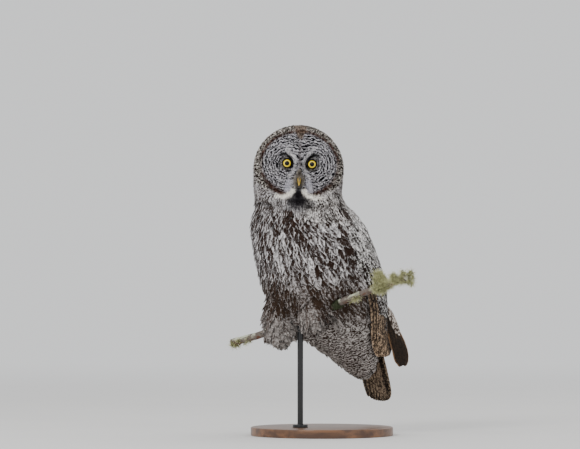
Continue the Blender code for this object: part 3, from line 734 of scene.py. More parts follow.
def wire(tree, rows):
    """Adds a table of nodes and gives them by name.

    A row is a name, a kind, the first inputs in order, and a dict of any settings and other inputs. A kind in
    capitals is a sum, and ShaderNode is left off a kind. A text input is the outlet of an earlier row.
    """
    made = {}
    for name, kind, *values in rows:
        more = values.pop() if values and isinstance(values[-1], dict) else {}
        if isinstance(kind, str):
            kind = ("Math", {"operation": kind}, range(3)) if kind.isupper() else (kind, {}, range(3))
        kind, settings, order = kind
        given = {**settings, **more, **dict(zip(order, values))}
        for socket, value in given.items():
            if isinstance(value, str) and value.partition(".")[0] in made:
                given[socket] = outlet(made, value)
        made[name] = add(tree, kind if "Node" in kind else f"ShaderNode{kind}", given)
    return made


BARBS = 22


@cache
def plumage_group():
    """The markings of a feather: dark shaft streak, cross bars, mottling and the rings of the face.

    A real vane has some hundred barbs a side, about 0.4 mm apart. They would be too fine to show, so BARBS of
    them are drawn.
    """
    group = bpy.data.node_groups.new("plumage_markings", "ShaderNodeTree")
    group.interface.new_socket("Color", in_out="OUTPUT", socket_type="NodeSocketColor")
    group.interface.new_socket("Height", in_out="OUTPUT", socket_type="NodeSocketFloat")
    wire(group, (
        ("place", "TexCoord"),
        # Place on the vane: edge is 0 at the shaft and 1 at the rim, and barb runs slantwise as the barbs do.
        ("vane", "UVMap", {"uv_map": "vane"}),
        ("on", "SeparateXYZ", "vane"),
        ("side", "MULTIPLY_ADD", "on.0", 2.0, -1.0),
        ("edge", "ABSOLUTE", "side"),
        ("barb", "MULTIPLY_ADD", "edge", -0.45, "on.1"),
        # What the mesh says of each place.
        ("pale", "Attribute", {"attribute_name": "pale"}),
        ("dark", "Attribute", {"attribute_name": "dark"}),
        ("mark", "Attribute", {"attribute_name": "mark"}),
        ("marks", "SeparateXYZ", "mark.1"),
        ("spot", "Attribute", {"attribute_name": "spot"}),
        ("spots", "SeparateXYZ", "spot.1"),
        # Cells of 4, 7 and 13 mm, and threads that run along the barbs.
        ("fine", NOISE, "place.3", 260.0, 1.5, 0.6),
        ("middling", NOISE, "place.3", 150.0, 1.0),
        ("broad", NOISE, "place.3", 75.0, 1.0),
        ("adrift", "SUBTRACT", "middling", 0.5),
        ("off", "SUBTRACT", "fine.0", 0.5),
        ("own", "MULTIPLY", "spots.2", 60.0),
        ("many", "MULTIPLY", "marks.2", 8.0),
        ("leaned", "MULTIPLY", "barb", "many"),
        ("wide", "MULTIPLY", "side", 2.6),
        ("threads", "CombineXYZ", "wide", "leaned", "own"),
        ("thread", NOISE, "threads", 1.0, 2.0, 0.6),
        ("stray", "SUBTRACT", "thread", 0.5),
        # The shaft streak.
        ("ragged", "MULTIPLY_ADD", "stray", 1.6, "edge"),
        ("inside", "SUBTRACT", "marks.0", "ragged"),
        ("streak", RANGE, "inside", -0.12, 0.12),
        # The bars across the vane.
        ("along", "MULTIPLY", "on.1", "marks.2"),
        ("wild", "MULTIPLY_ADD", "mark.3", 2.2, 0.6),
        ("waved", "MULTIPLY_ADD", "stray", "wild", "along"),
        ("offset", "MULTIPLY_ADD", "adrift", 2.0, "waved"),
        ("turned", "MULTIPLY_ADD", "spots.2", 0.7, "offset"),
        ("swept", "MULTIPLY_ADD", "edge", -0.25, "turned"),
        ("bar_turn", "MULTIPLY", "swept", TURN),
        ("bar_wave", "SINE", "bar_turn"),
        ("bar", RANGE, "bar_wave", -0.55, 0.45),
        ("barred", "MULTIPLY", "bar", "marks.1"),
        # The rings, waves and spots.
        ("drift", "MULTIPLY_ADD", "broad.0", 0.9, "spots.0"),
        ("jitter", "MULTIPLY_ADD", "off", 1.25, "drift"),
        ("shaken", "MULTIPLY_ADD", "adrift", 1.4, "jitter"),
        ("ring_turn", "MULTIPLY", "shaken", TURN),
        ("ring_wave", "SINE", "ring_turn"),
        ("ring", RANGE, "ring_wave", -0.45, 0.55),
        ("ringed", "MULTIPLY", "ring", "spots.1"),
        # All marks together, the mottling and a pepper of 1 mm grains, from pale to dark.
        ("worn", "MULTIPLY_ADD", "thread", -0.4, 1.12),
        ("streaked", "MULTIPLY", "streak", "worn"),
        ("most", "MAXIMUM", "streaked", "barred"),
        ("more", "MAXIMUM", "most", "ringed"),
        ("speckle", RANGE, "thread", 0.36, 0.64, -0.5, 0.5),
        ("speck", RANGE, "fine.0", 0.42, 0.58, -0.42, 0.42),
        ("both", "ADD", "speckle", "speck"),
        ("mottled", "MULTIPLY_ADD", "both", "mark.3", "more"),
        ("grain", NOISE, "place.3", 1100.0, 1.0),
        ("pepper", RANGE, "grain.0", 0.35, 0.65, -0.16, 0.16),
        ("peppered", "ADD", "mottled", "pepper"),
        ("depth", "ADD", "peppered", "spot.3", {"use_clamp": True}),
        ("blend", BLEND, "depth", "pale", "dark"),
        # Each feather's own brightness, its shaded root and its barbs.
        ("each", "MULTIPLY_ADD", "spots.2", 0.26, 0.87),
        ("root", RANGE, "on.1", 0.0, 0.5, 0.45, 1.0),
        ("level", "MULTIPLY", "each", "root"),
        ("barb_turn", "MULTIPLY", "barb", TURN * BARBS),
        ("barbs", "SINE", "barb_turn"),
        ("combed", "MULTIPLY_ADD", "barbs", 0.09, 0.95),
        ("shown", "MULTIPLY", "level", "combed"),
        ("tone", "VectorMath", "blend.2", {"operation": "SCALE", "Scale": "shown"}),
        ("out", "NodeGroupOutput", "tone", "barbs"),
    ))
    return group


def finish(name, rows, colour="tone.2", **sockets):
    """A material from a table of nodes, with a Principled shader whose named sockets hold plain numbers.

    Its colour is the outlet given, and a row named relief, if there is one, gives its bumps.
    """
    material = bpy.data.materials.new(name)
    material.use_nodes = True
    tree = material.node_tree
    shader = tree.nodes["Principled BSDF"]
    for socket, value in sockets.items():
        shader.inputs[socket.replace("_", " ")].default_value = value
    made = wire(tree, rows)
    tree.links.new(outlet(made, colour), shader.inputs["Base Color"])
    if "relief" in made:
        tree.links.new(outlet(made, "relief"), shader.inputs["Normal"])
    return material


@cache
def plumage(name, roughness, sheen, gloss, bump):
    """Feather: dull, hardly any sheen, fine diagonal barbs; soft feathers are duller than firm ones."""
    return finish(name, (
        ("marks", "Group", {"node_tree": plumage_group()}),
        ("relief", "Bump", {"Strength": bump, "Distance": 0.0004, "Height": "marks.1"}),
    ), "marks", Roughness=roughness, Sheen_Weight=sheen, Sheen_Roughness=0.4, Specular_IOR_Level=gloss)


# Skin.

# How deep the skin lies under the feathers' outline, in millimetres: over each part of PARTS and on the face.
DEPTHS = (7.0, 11.0, 12.0, 8.0, 8.0, 1.6, 1.6, 8.0, 8.0)
FACE_DEPTH = 4.2
# The face's half width, half height and middle height that this depth keeps to, in millimetres.
FACE_OVAL = (80, 68, 10)
SHRINK_STEPS = 6
SKIN_GRID = 3.0 * MM
SKIN_CLEAR = 0.0016
WING_CORE = 2.3 * MM


def eased(points, edges, share):
    """Moves each point part of the way to the middle of its neighbours."""
    total, count = np.zeros_like(points), np.zeros(len(points))
    for a, b in ((0, 1), (1, 0)):
        np.add.at(total, edges[:, a], points[edges[:, b]])
        np.add.at(count, edges[:, a], 1)
    return points + (total / count[:, None] - points) * share


def skin_shape():
    """The flesh's outline let in by the depth of the coat, with the thin wings' cores joined on."""
    flesh = fused(joined([grown(merged_copy(node), OVERLAP) for node in FLESH]), SKIN_GRID, 3)
    points = rounded_back(arrays(flesh)[0])
    move_to(flesh, points)
    edges = np.empty(len(flesh.edges) * 2, np.int32)
    flesh.edges.foreach_get("vertices", edges)
    edges = edges.reshape(-1, 2)
    _, _, index = snapped(points)
    depth = np.array(DEPTHS)[hull().labels[index]] * MM
    x, y, z = to_head(points).T
    half_width, half_height, middle = FACE_OVAL
    face = ramp(np.hypot(x / half_width, (z - middle) / half_height), 1.15, 1.0) * ramp(y, -10, -25)
    depth = depth + (FACE_DEPTH * MM - depth) * face
    for _ in range(4):
        depth = eased(depth[:, None], edges, 0.7)[:, 0]
    for _ in range(SHRINK_STEPS):
        _, normals, _ = arrays(flesh)
        points = eased(points - normals * (depth / SHRINK_STEPS)[:, None], edges, 0.12)
        move_to(flesh, points)
    cores = [grown(merged_copy(node), -WING_CORE) for node in WINGS]
    skin = fused(joined([taken_up(flesh)] + cores), SKIN_GRID, 2)
    points, _, _ = arrays(skin)
    for _ in range(3):
        near, normal, _ = snapped(points)
        under = ((near - points) * normal).sum(1)
        points -= normal * np.clip(SKIN_CLEAR - under, 0, SKIN_CLEAR * 2)[:, None]
    move_to(skin, points)
    return skin


# The lids, in millimetres: the opening's radius, the rim's way out and above the eyeball, and how far out they reach.
LID_OPENING = 8.7
LID_PROFILE = ((-0.35, -0.5), (-0.1, 0.75), (0.7, 1.0), (2.0, 0.8), (3.4, 0.9), (4.4, 0.6), (5.2, -0.5))
LID_REACH = 12.9
LID_SIDES = 56
LID_FOLDS = 14


def lids(side):
    """Eyelids: a rolled rim on the eyeball and a band that goes out to the face."""
    ball = EYE_RADIUS / MM
    points = []
    for out, above in LID_PROFILE:
        for turn in np.linspace(0, TURN, LID_SIDES, endpoint=False):
            droop = 1 - 0.07 * max(math.sin(turn), 0) - 0.02 * abs(math.cos(turn))
            fold = 0.12 * math.sin(turn * LID_FOLDS) * ramp(out, 0.5, 3)
            radius = min(LID_OPENING * droop + out, LID_REACH)
            height = math.sqrt(max((ball + 0.3) ** 2 - min(radius, ball) ** 2, 0.0)) + above + fold
            points.append((
                side * EYE_SPREAD / MM + radius * math.cos(turn),
                -EYE_DEPTH / MM - height,
                EYE_RISE / MM + radius * math.sin(turn),
            ))
    return mesh_of("lid", from_head(np.array(points) * MM), grid_faces(len(LID_PROFILE), LID_SIDES, True))


class OWL_OT_skin(bpy.types.Operator):
    """Build the one skin under all the feathers, with the eyelids on it."""

    bl_idname = "owl.skin"
    bl_label = "Skin and eyelids"

    def execute(self, context):
        mesh = joined([taken_up(mesh) for mesh in (skin_shape(), lids(1), lids(-1))])
        points, _, _ = arrays(mesh)
        _, _, index = snapped(points)
        _, _, up = to_bird(points)
        write_marks(mesh, markings(points, hull().labels[index], np.full(len(points), 0.5)))
        write_map(mesh, "vane", np.stack((np.full(len(points), 0.5), 0.5 + up), -1))
        skin = plumage("bare_skin_under_down", 0.8, 0.0, 0.1, 0.0)
        show(shade_round(mesh), "skin", skin, FLESH)
        return {"FINISHED"}


# Feathers.

# A feather's outline: shares of its length, the width at each, columns across, how ragged, hollow and swept it is.
Cut = namedtuple("Cut", "shares widths columns notch camber sweep")
CUTS = {
    "contour": Cut(
        (0, 0.15, 0.35, 0.6, 0.8, 0.93, 1),
        (0.15, 0.55, 0.9, 1.0, 0.88, 0.6, 0.16),
        5, 0.38, 0.20, 0.30,
    ),
    "covert": Cut((0, 0.2, 0.45, 0.7, 0.88, 1), (0.3, 0.8, 1.0, 1.0, 0.8, 0.25), 5, 0.08, 0.22, 0.22),
    "small": Cut((0, 0.3, 0.65, 0.9, 1), (0.3, 0.85, 1.0, 0.7, 0.2), 3, 0.25, 0.25, 0.25),
    "bristle": Cut((0, 0.4, 0.8, 1), (0.5, 1.0, 0.7, 0.12), 3, 0.1, 0.3, 0.2),
}


# How many places are tried for each feather that finds room.
TRIES = 4


def scatter(area, spacing, seed):
    """Evenly spaced places on the hull where area is above chance; spacing is in metres at each."""
    rng = np.random.default_rng(seed)
    shape = hull()
    corners = shape.points[shape.triangles]
    middles = corners.mean(1)
    wanted = area(middles, shape.labels) > 0.01
    corners, labels = corners[wanted], shape.labels[wanted]
    gap = spacing(middles[wanted])
    size = np.linalg.norm(np.cross(corners[:, 1] - corners[:, 0], corners[:, 2] - corners[:, 0]), axis=1) / 2
    mean = size / gap**2
    pick = rng.choice(len(size), int(mean.sum() * TRIES), p=mean / mean.sum())
    a, b = np.sqrt(rng.random(len(pick)))[:, None], rng.random(len(pick))[:, None]
    triangle = corners[pick]
    points = triangle[:, 0] * (1 - a) + triangle[:, 1] * a * (1 - b) + triangle[:, 2] * a * b
    kept = area(points, labels[pick]) > rng.random(len(points))
    points, labels, gap = points[kept], labels[pick][kept], gap[pick][kept]
    tree = KDTree(len(points))
    for index, point in enumerate(points.tolist()):
        tree.insert(point, index)
    tree.balance()
    free, roots = np.full(len(points), True), []
    for index, point in enumerate(points.tolist()):
        if free[index]:
            roots.append(index)
            for _, other, _ in tree.find_range(point, gap[index]):
                free[other] = False
    return points[roots], labels[roots]


def march(roots, lengths, steps, free):
    """Shaft lines that start at their roots and follow the lie of the coat; free is how far the tips hang clear."""
    here, normal, _ = snapped(roots)
    way = lie(here)
    line, normals, ways = [here], [normal], []
    for share, before in zip(steps[1:], steps):
        loose = free * ramp(share, 0.25, 0.85)
        way = unit(way * (1 + 3 * loose) + lie(here))
        way = unit(way - normal * (way * normal).sum(1, keepdims=True))
        target = here + way * (lengths * (share - before))[:, None]
        near, turned, _ = snapped(target)
        outside = ((target - near) * turned).sum(1, keepdims=True) > 0
        here = near + (target - near) * loose * outside
        normal = unit(turned + (normal - turned) * loose * outside)
        line.append(here)
        normals.append(normal)
        ways.append(way)
    ways.append(way)
    return np.stack(line, 1), np.stack(normals, 1), np.stack(ways, 1)


def vanes(line, normals, ways, widths, cut, depths, rng, curl=0.0, lift=0.0, room=1.0):
    """Points of every feather: count, rows along the shaft, columns across the vane."""
    count, rows = line.shape[:2]
    across = np.linspace(-1, 1, cut.columns)
    share = np.array(cut.shares)
    side = unit(np.cross(ways, normals))
    width = np.array(cut.widths)[None, :, None] * widths[:, None, None]
    toothed = (np.arange(rows) % 2)[None, :, None] * (np.abs(across) > 0.9)
    ragged = 1 - cut.notch * rng.random((count, rows, cut.columns)) * toothed
    reach = across[None, None, :] * width * ragged
    sunk = np.minimum(depths[1] + (depths[0] - depths[1]) * (1 - share) ** 1.3, room)
    drop = np.broadcast_to(sunk, (count, rows))[:, :, None] + cut.camber * np.abs(across) ** 2 * width
    drop = drop - lift * (rng.random((count, 1, 1)) - 0.25) * share[None, :, None] ** 2
    bend = curl * (rng.random((count, 1, 1)) - 0.5) * share[None, :, None] ** 2
    forth = cut.sweep * np.abs(across) * width * (1 - 2.2 * share[None, :, None] ** 3)
    return (
        line[:, :, None]
        + side[:, :, None] * (reach + bend)[..., None]
        - normals[:, :, None] * drop[..., None]
        + ways[:, :, None] * forth[..., None]
    )


SKIN_GAP = 0.3 * MM


def skin_room(line):
    """How deep under the coat's outline the skin lies below each place along the shafts."""
    skin = BVHTree.FromObject(bpy.data.objects["skin"], bpy.context.evaluated_depsgraph_get())
    gaps = [skin.find_nearest(p)[3] for p in line.reshape(-1, 3).tolist()]
    return np.array(gaps).reshape(line.shape[:2]) - SKIN_GAP


def unwrap(points):
    """Where each place lies on the skin unwrapped about its own middle line, from 0 to 1 both ways.

    The body fills the lower part of the map and the head the upper part.
    """
    x, y, z = to_head(points).T
    forward, left, up = to_bird(points)
    turn = np.arctan2(left, forward - middle_line(up)) / TURN + 0.5
    head_turn = np.arctan2(x, -y - 10) / TURN + 0.5
    rise = np.arctan2(z - 10, np.hypot(x, y + 10)) / math.pi + 0.5
    is_head = up > 0.505
    across = np.where(is_head, head_turn, turn)
    height = np.where(is_head, 0.55 + 0.44 * rise, (up - 0.06) / 0.445 * 0.54)
    return np.clip(np.stack((across, height), -1), 0.002, 0.998)


# How much of the bake map one feather covers.
PATCH = 0.003


def grid_map(across, along):
    """The places on a map of a grid's points, row by row."""
    return np.stack(np.broadcast_arrays(across[None, :], along[:, None]), -1).reshape(-1, 2)


def feather_mesh(name, points, marks, bake_of):
    """One mesh of all the feathers, with its vane map, its markings and its bake map."""
    count, rows, columns = points.shape[:3]
    cells = grid_faces(rows, columns)[None] + (np.arange(count) * rows * columns)[:, None, None]
    mesh = mesh_of(name, points.reshape(-1, 3), cells.reshape(-1, 4))
    own = grid_map(np.linspace(0, 1, columns), np.linspace(0, 1, rows))
    write_map(mesh, "vane", np.tile(own, (count, 1)))
    write_map(mesh, "OFBake", bake_of(own).reshape(-1, 2))
    write_marks(mesh, marks)
    return mesh


def spread_marks(marks, repeat):
    """The same markings for every point of a feather."""
    return {name: np.repeat(values, repeat, 0) for name, values in marks.items()}


# A tract is one piece of the coat: its feathers' cut, length and width, the gap between their roots, how deep
# their roots and tips lie, how far tips lift and curl, how freely they hang, whether each point has its own
# markings, and the seed. Feathers are fewer and larger than a real owl's, because finer ones would not show.
Tract = namedtuple("Tract", "name cut length width gap depth tip lift curl free exact seed")


def coat(tract, area, scale=lambda points: 1.0):
    """Builds one piece of the coat: roots, shafts, vanes, markings and maps."""
    chosen = bpy.context.scene.owl_feathers
    long, wide = (getattr(chosen, f"{tract.name}_{kind}") for kind in ("length", "width"))
    rng = np.random.default_rng(tract.seed + 100)
    roots, labels = scatter(area, lambda p: tract.gap * scale(p) * np.ones(len(p)), tract.seed)
    cut = CUTS[tract.cut]
    sizes = scale(roots) * np.ones(len(roots)) * (0.85 + 0.3 * rng.random(len(roots)))
    line, normals, ways = march(roots, long * sizes, cut.shares, tract.free)
    depths = (tract.depth, tract.tip)
    points = vanes(line, normals, ways, wide * sizes, cut, depths, rng, tract.curl, tract.lift, skin_room(line))
    chance = rng.random(len(roots))
    each = points.shape[1] * points.shape[2]
    if tract.exact:
        marks = markings(points.reshape(-1, 3), np.repeat(labels, each), np.repeat(chance, each))
    else:
        marks = spread_marks(markings(line[:, int(len(cut.shares) * 0.6)], labels, chance), each)
    places = unwrap(roots)[:, None]
    mesh = feather_mesh(tract.name, points, marks, lambda own: places + (own[None] - 0.5) * PATCH)
    if len(mesh.polygons) * 2 > MOST_FACES:
        raise RuntimeError(f"{tract.name} has {len(mesh.polygons) * 2} triangles")
    return mesh


def on_face(points, labels):
    """The face inside its rim, but not the eyes and the bill."""
    x, y, z = to_head(points).T
    clear = (eye_reach(x, z) > 12.3) * (np.hypot(x / 7, (z + 24) / 13) > 1)
    return (disc_reach(x, z) < 0.99) * (y < -32) * clear


def on_rim(points, labels):
    """The rim of the face."""
    x, y, z = to_head(points).T
    rho = disc_reach(x, z)
    return (rho > 0.93) * (rho < 1.12) * (y < -28) * (z > -75)


def on_hood(points, labels):
    """The whole head but the face."""
    x, y, z = to_head(points).T
    return (z > -62) * (1 - (disc_reach(x, z) < 1.0) * (y < -32))


def off_head(points, labels):
    """The neck and trunk below the head but for the vent, and how far forward of the middle line each place is."""
    forward, _, up = to_bird(points)
    below = is_part(labels, "head", "neck", "trunk") * (to_head(points)[:, 2] < -55)
    return below * (1 - on_vent(points, labels)), forward - middle_line(up)


def on_front(points, labels):
    """The breast and belly."""
    below, fore = off_head(points, labels)
    return below * (fore > -0.03)


def on_back(points, labels):
    """The nape and back."""
    below, fore = off_head(points, labels)
    return below * (fore <= -0.03)


def on_vent(points, labels):
    """The vent, below and behind the belly."""
    forward, _, up = to_bird(points)
    return is_part(labels, "trunk") * (up < 0.31) * ((forward < -0.085) | (up < 0.242)) * (forward > rump_line(up))


def on_rump(points, labels):
    """The rump and the feathers over the root of the tail."""
    forward, left, up = to_bird(points)
    behind = (forward < rump_line(up) + 0.012) * (np.abs(left) < 0.055)
    return is_part(labels, "trunk") * (up < 0.345) * (up > 0.24) * behind


def on_legs(points, labels):
    """The legs."""
    return is_part(labels, "leg_left", "leg_right")


def on_toes(points, labels):
    """The feet, down to the claws."""
    return is_part(labels, "foot_left", "foot_right")


def on_wings(points, labels):
    """The folded wings down to where the secondaries show."""
    return is_part(labels, *WINGS) * (points[:, 2] > 0.272)


def on_chin(points, labels):
    """The chin and throat under the face."""
    x, y, z = to_head(points).T
    low = (y < -8) * (z < -40) * (z > -72) * (np.abs(x) < 75)
    return is_part(labels, "head", "neck") * low * (disc_reach(x, z) > 0.93)


HEAD_COAT = (
    (Tract("coat_face", "bristle", 0.0095, 0.0015, 0.0020, 0.0035, 0.0002, 0.0008, 0.002, 0.0, True, 11), on_face),
    (Tract("coat_rim", "bristle", 0.0120, 0.0019, 0.0022, 0.0040, -0.0010, 0.0020, 0.003, 0.3, True, 12), on_rim),
    (Tract("coat_hood", "small", 0.0190, 0.0040, 0.0041, 0.0065, 0.0002, 0.0022, 0.004, 0.1, False, 13), on_hood),
    (Tract("coat_chin", "contour", 0.0300, 0.0032, 0.0030, 0.0040, -0.0010, 0.0030, 0.004, 0.85, False, 14), on_chin),
)
BODY_COAT = (
    (Tract("coat_breast", "contour", 0.0500, 0.0088, 0.0066, 0.0120, 0.0003, 0.0050, 0.010, 0.15, False, 21), on_front),
    (Tract("coat_back", "contour", 0.0420, 0.0092, 0.0076, 0.0110, 0.0003, 0.0025, 0.006, 0.05, False, 22), on_back),
    (Tract("coat_rump", "contour", 0.0620, 0.0095, 0.0062, 0.0040, -0.0010, 0.0020, 0.004, 0.9, False, 24), on_rump),
    (Tract("coat_vent", "contour", 0.0380, 0.0085, 0.0066, 0.0100, 0.0003, 0.0050, 0.010, 0.3, True, 23), on_vent),
)
LEG_COAT = (
    (Tract("coat_legs", "contour", 0.0440, 0.0060, 0.0048, 0.0070, -0.0015, 0.0070, 0.012, 1.0, False, 31), on_legs),
    (Tract("coat_toes", "bristle", 0.0080, 0.0014, 0.0022, 0.0015, -0.0004, 0.0008, 0.001, 0.0, False, 32), on_toes),
)
WING_COAT = (
    (Tract("coat_wings", "covert", 0.0290, 0.0084, 0.0072, 0.0040, 0.0000, 0.0012, 0.002, 0.0, False, 41), on_wings),
)


def hood_scale(points):
    """Feathers grow from the forehead and the disc back and down the neck."""
    _, y, z = to_head(points).T
    return 0.62 + 0.30 * ramp(y, -40, 45) + 0.38 * ramp(z, 20, -55)


def dress(tracts, feather, replaces=()):
    """Builds the pieces of a part of the coat, all of one kind of feather."""
    for tract, area in tracts:
        mesh = coat(tract, area, hood_scale) if area is on_hood else coat(tract, area)
        show(mesh, tract.name, feather, replaces)
    return {"FINISHED"}


class OWL_OT_head_coat(bpy.types.Operator):
    """Feather the face, its rim and the rest of the head."""

    bl_idname = "owl.head_coat"
    bl_label = "Head feathers"

    def execute(self, context):
        return dress(HEAD_COAT, plumage("soft_disc_feather", 0.95, 0.02, 0.03, 0.15))


class OWL_OT_body_coat(bpy.types.Operator):
    """Feather the breast, belly, back and vent."""

    bl_idname = "owl.body_coat"
    bl_label = "Body feathers"

    def execute(self, context):
        return dress(BODY_COAT + LEG_COAT, plumage("loose_contour_feather", 0.95, 0.02, 0.03, 0.3))


class OWL_OT_wings(bpy.types.Operator):
    """Feather the folded wings."""

    bl_idname = "owl.wings"
    bl_label = "Wings"

    def execute(self, context):
        return dress(WING_COAT, plumage("firm_covert_feather", 0.8, 0.02, 0.08, 0.3), WINGS)


# Flight feathers.

CUTS["flight"] = Cut(
    (0, 0.06, 0.14, 0.24, 0.36, 0.48, 0.60, 0.71, 0.81, 0.89, 0.95, 0.985, 1),
    (0.35, 0.6, 0.85, 0.97, 1.0, 1.0, 0.99, 0.97, 0.9, 0.76, 0.56, 0.32, 0.08),
    7, 0.02, 0.16, 0.05,
)


def breast_way(lean):
    """The direction to the breast side of a slice that leans back by lean degrees."""
    angle = np.radians(lean)[..., None]
    return FORWARD * np.cos(angle) - UP * np.sin(angle)


def wing_place(side, station, turn):
    """Place and outward way on a folded wing, at a station along it and an angle round the body."""
    row = spline(WING, np.asarray(station) / (len(WING) - 1))
    forward, up, lean, half_width, back, low, high, thick = np.moveaxis(row, -1, 0)
    angle = np.radians(low + (high - low) * turn)
    spread = LEFT * (side * half_width * np.sin(angle))[..., None]
    spread = spread + breast_way(lean) * (back * np.cos(angle))[..., None]
    return on_bird(forward, 0 * up, up) + spread, unit(spread), thick


def shafts(line, normals):
    """The way along each shaft, square to its normal."""
    ways = np.gradient(line, axis=1)
    return unit(ways - normals * (ways * normals).sum(-1, keepdims=True))


# How many firm feathers show on a wing, how many of them are the innermost ones, and half the width of one.
SECONDARIES = 13
TERTIALS = 4
SECONDARY_WIDTH = 0.0120
# The slices of WING where these feathers start, and where the longest of them ends.
SECONDARY_START = 5.0
SECONDARY_END = 9.85


def secondaries(side):
    """The firm feathers of the folded wing's lower half, each tucked under the next one in."""
    share = np.array(CUTS["flight"].shares)
    lines, normals = [], []
    for k in range(SECONDARIES):
        turn = (k + 0.3) / SECONDARIES
        end = SECONDARY_END - 2.4 * abs(turn - 0.50) ** 1.3
        place, out, thick = wing_place(side, SECONDARY_START + (end - SECONDARY_START) * share, turn)
        lines.append(place + out * (thick + (1.2 * turn - 1.0 - 4.5 * (1 - share) ** 1.2) * MM)[:, None])
        along = np.gradient(place, axis=0)
        normals.append(unit(out - unit(np.cross(along, out)) * side * 0.12))
    return np.array(lines), np.array(normals), np.full(SECONDARIES, SECONDARY_WIDTH)


# Each blade's place across the wing tip, the row of PRIMARIES where it ends, its layer and half width.
BLADES = (
    (0.90, 5.65, -0.8, 0.0120), (0.76, 6.15, -0.4, 0.0128), (0.56, 6.05, 0.0, 0.0128),
    (0.36, 5.7, 0.4, 0.0120), (0.16, 5.1, 0.7, 0.0100),
)
SHORT_BLADES = ((1.00, 1.9, 0.6, 0.0055), (0.86, 2.1, 0.9, 0.0060), (0.66, 2.0, 1.1, 0.0060))


def primaries(side):
    """The long wing-tip feathers: dark blades in a fan, and short barred ones over their bases."""
    share = np.array(CUTS["flight"].shares)
    lines, normals, widths = [], [], []
    for across, end, layer, width in BLADES + SHORT_BLADES:
        front, rear, left, up, thick = np.moveaxis(spline(PRIMARIES, share * end / (len(PRIMARIES) - 1)), -1, 0)
        tuck = RIGHT_TUCK * (up[0] - up) if side < 0 else 0 * up
        middle = front + (rear - front) * (0.5 + (across - 0.5) * np.minimum(1, share * 2.5))
        lines.append(on_bird(middle + tuck, side * (left - tuck + layer * thick), up))
        normals.append(np.tile(LEFT * side, (len(share), 1)))
        widths.append(width)
    return np.array(lines), np.array(normals), np.array(widths)


# The tail: how many feathers, half the width of the middle one, half the width they spread over near the end, and
# how far their tips hang below TAIL.
RECTRICES = 12
RECTRIX_WIDTH = 0.0120
TAIL_SPREAD = 0.039
TAIL_REACH = 0.006


def tail_feathers():
    """The twelve tail feathers, the middle pair on top and the outer ones under it."""
    share = np.array(CUTS["flight"].shares)
    lines, normals, widths = [], [], []
    breast = breast_way(np.array(TAIL_LEAN))
    for k in range(RECTRICES):
        across = (k + 0.5) / RECTRICES * 2 - 1
        end = len(TAIL) - 1.02 - 1.7 * across**2
        forward, up, half_width, thick = np.moveaxis(spline(TAIL, share * end / (len(TAIL) - 1)), -1, 0)
        spread = across * 0.80 * np.where(share > 0.7, TAIL_SPREAD, half_width)
        up = up - TAIL_REACH * share**4
        layer = (abs(across) * 1.5 - 0.8) * thick * 0.8 + 0.08 * half_width * across**2
        lines.append(on_bird(forward, spread, up) + breast * layer[:, None])
        normals.append(np.tile(unit(breast + LEFT * across * 0.18), (len(share), 1)))
        widths.append(RECTRIX_WIDTH * (1 - 0.2 * abs(across)))
    return np.array(lines), np.array(normals), np.array(widths)


FLIGHT_COAT = {
    "secondary": Layer("#D2B394", "#170D07", 0.54, 0.9, 8, 0.62, 0, 0.26),
    "tertial": Layer("#DCC9B6", "#1D120B", 0.42, 1, 6, 0.6, 0, 0.22),
    "primary": Layer("#A5805F", "#0C0806", 0.84, 0, 8, 0.05, 0, 0.1),
    "primary_base": Layer("#D9CEC4", "#35251B", -1, 1, 4.5, 0.15, 0, 0.05),
    "rectrix": Layer("#C8B096", "#170E08", 0.54, 0.75, 7, 0.65, 0, 0.24),
}


def flight_mesh(name, stack, kinds, seed):
    """One mesh of long feathers; each has its own strip of the bake map, so that its bars stay sharp."""
    line, normals, widths = stack
    rng = np.random.default_rng(seed)
    points = vanes(line, normals, shafts(line, normals), widths, CUTS["flight"], (0.0, 0.0), rng, 0.002)
    count, rows, columns = points.shape[:3]
    chance = rng.random(count)
    tones = np.array([plumage_tones(kind) for kind in kinds])
    numbers = np.array([FLIGHT_COAT[kind][2:] for kind in kinds])
    ones = np.ones(count)
    marks = {
        "pale": np.c_[tones[:, 0], ones],
        "dark": np.c_[tones[:, 1], ones],
        "mark": numbers[:, :4],
        "spot": np.c_[0 * ones, 0 * ones, chance, numbers[:, 5]],
    }
    strip = (np.arange(count) + 0.06) / count
    own = grid_map(np.linspace(0, 0.88 / count, columns), np.linspace(0.02, 0.98, rows))
    bake = own[None] + np.stack((strip, 0 * strip), -1)[:, None]
    return feather_mesh(name, points, spread_marks(marks, rows * columns), lambda _: bake)


class OWL_OT_flight(bpy.types.Operator):
    """Build the long feathers of both wings and the tail."""

    bl_idname = "owl.flight"
    bl_label = "Flight feathers"

    def execute(self, context):
        vane = plumage("firm_flight_vane", 0.7, 0.0, 0.1, 0.35)
        folded = ["secondary"] * (SECONDARIES - TERTIALS) + ["tertial"] * TERTIALS
        tips = ["primary"] * len(BLADES) + ["primary_base"] * len(SHORT_BLADES)
        sets = []
        for name, side in SIDES:
            sets.append((f"secondaries_{name}", secondaries(side), folded, 51, f"wing_{name}"))
            sets.append((f"primary_vanes_{name}", primaries(side), tips, 52, f"primaries_{name}"))
        sets.append(("tail_vanes", tail_feathers(), ["rectrix"] * RECTRICES, 53, "tail"))
        for name, stack, kinds, seed, node in sets:
            show(flight_mesh(name, stack, kinds, seed), name, vane, (node,))
        return {"FINISHED"}


# Eyes, bill and claws.

CORNEA_RISE = 0.0009
EYE_GAP = 0.0002
EYE_ROWS = 40
EYE_TURNS = 64
# How much of an eye its gaze map spans, in metres.
GAZE_WIDTH = 0.026


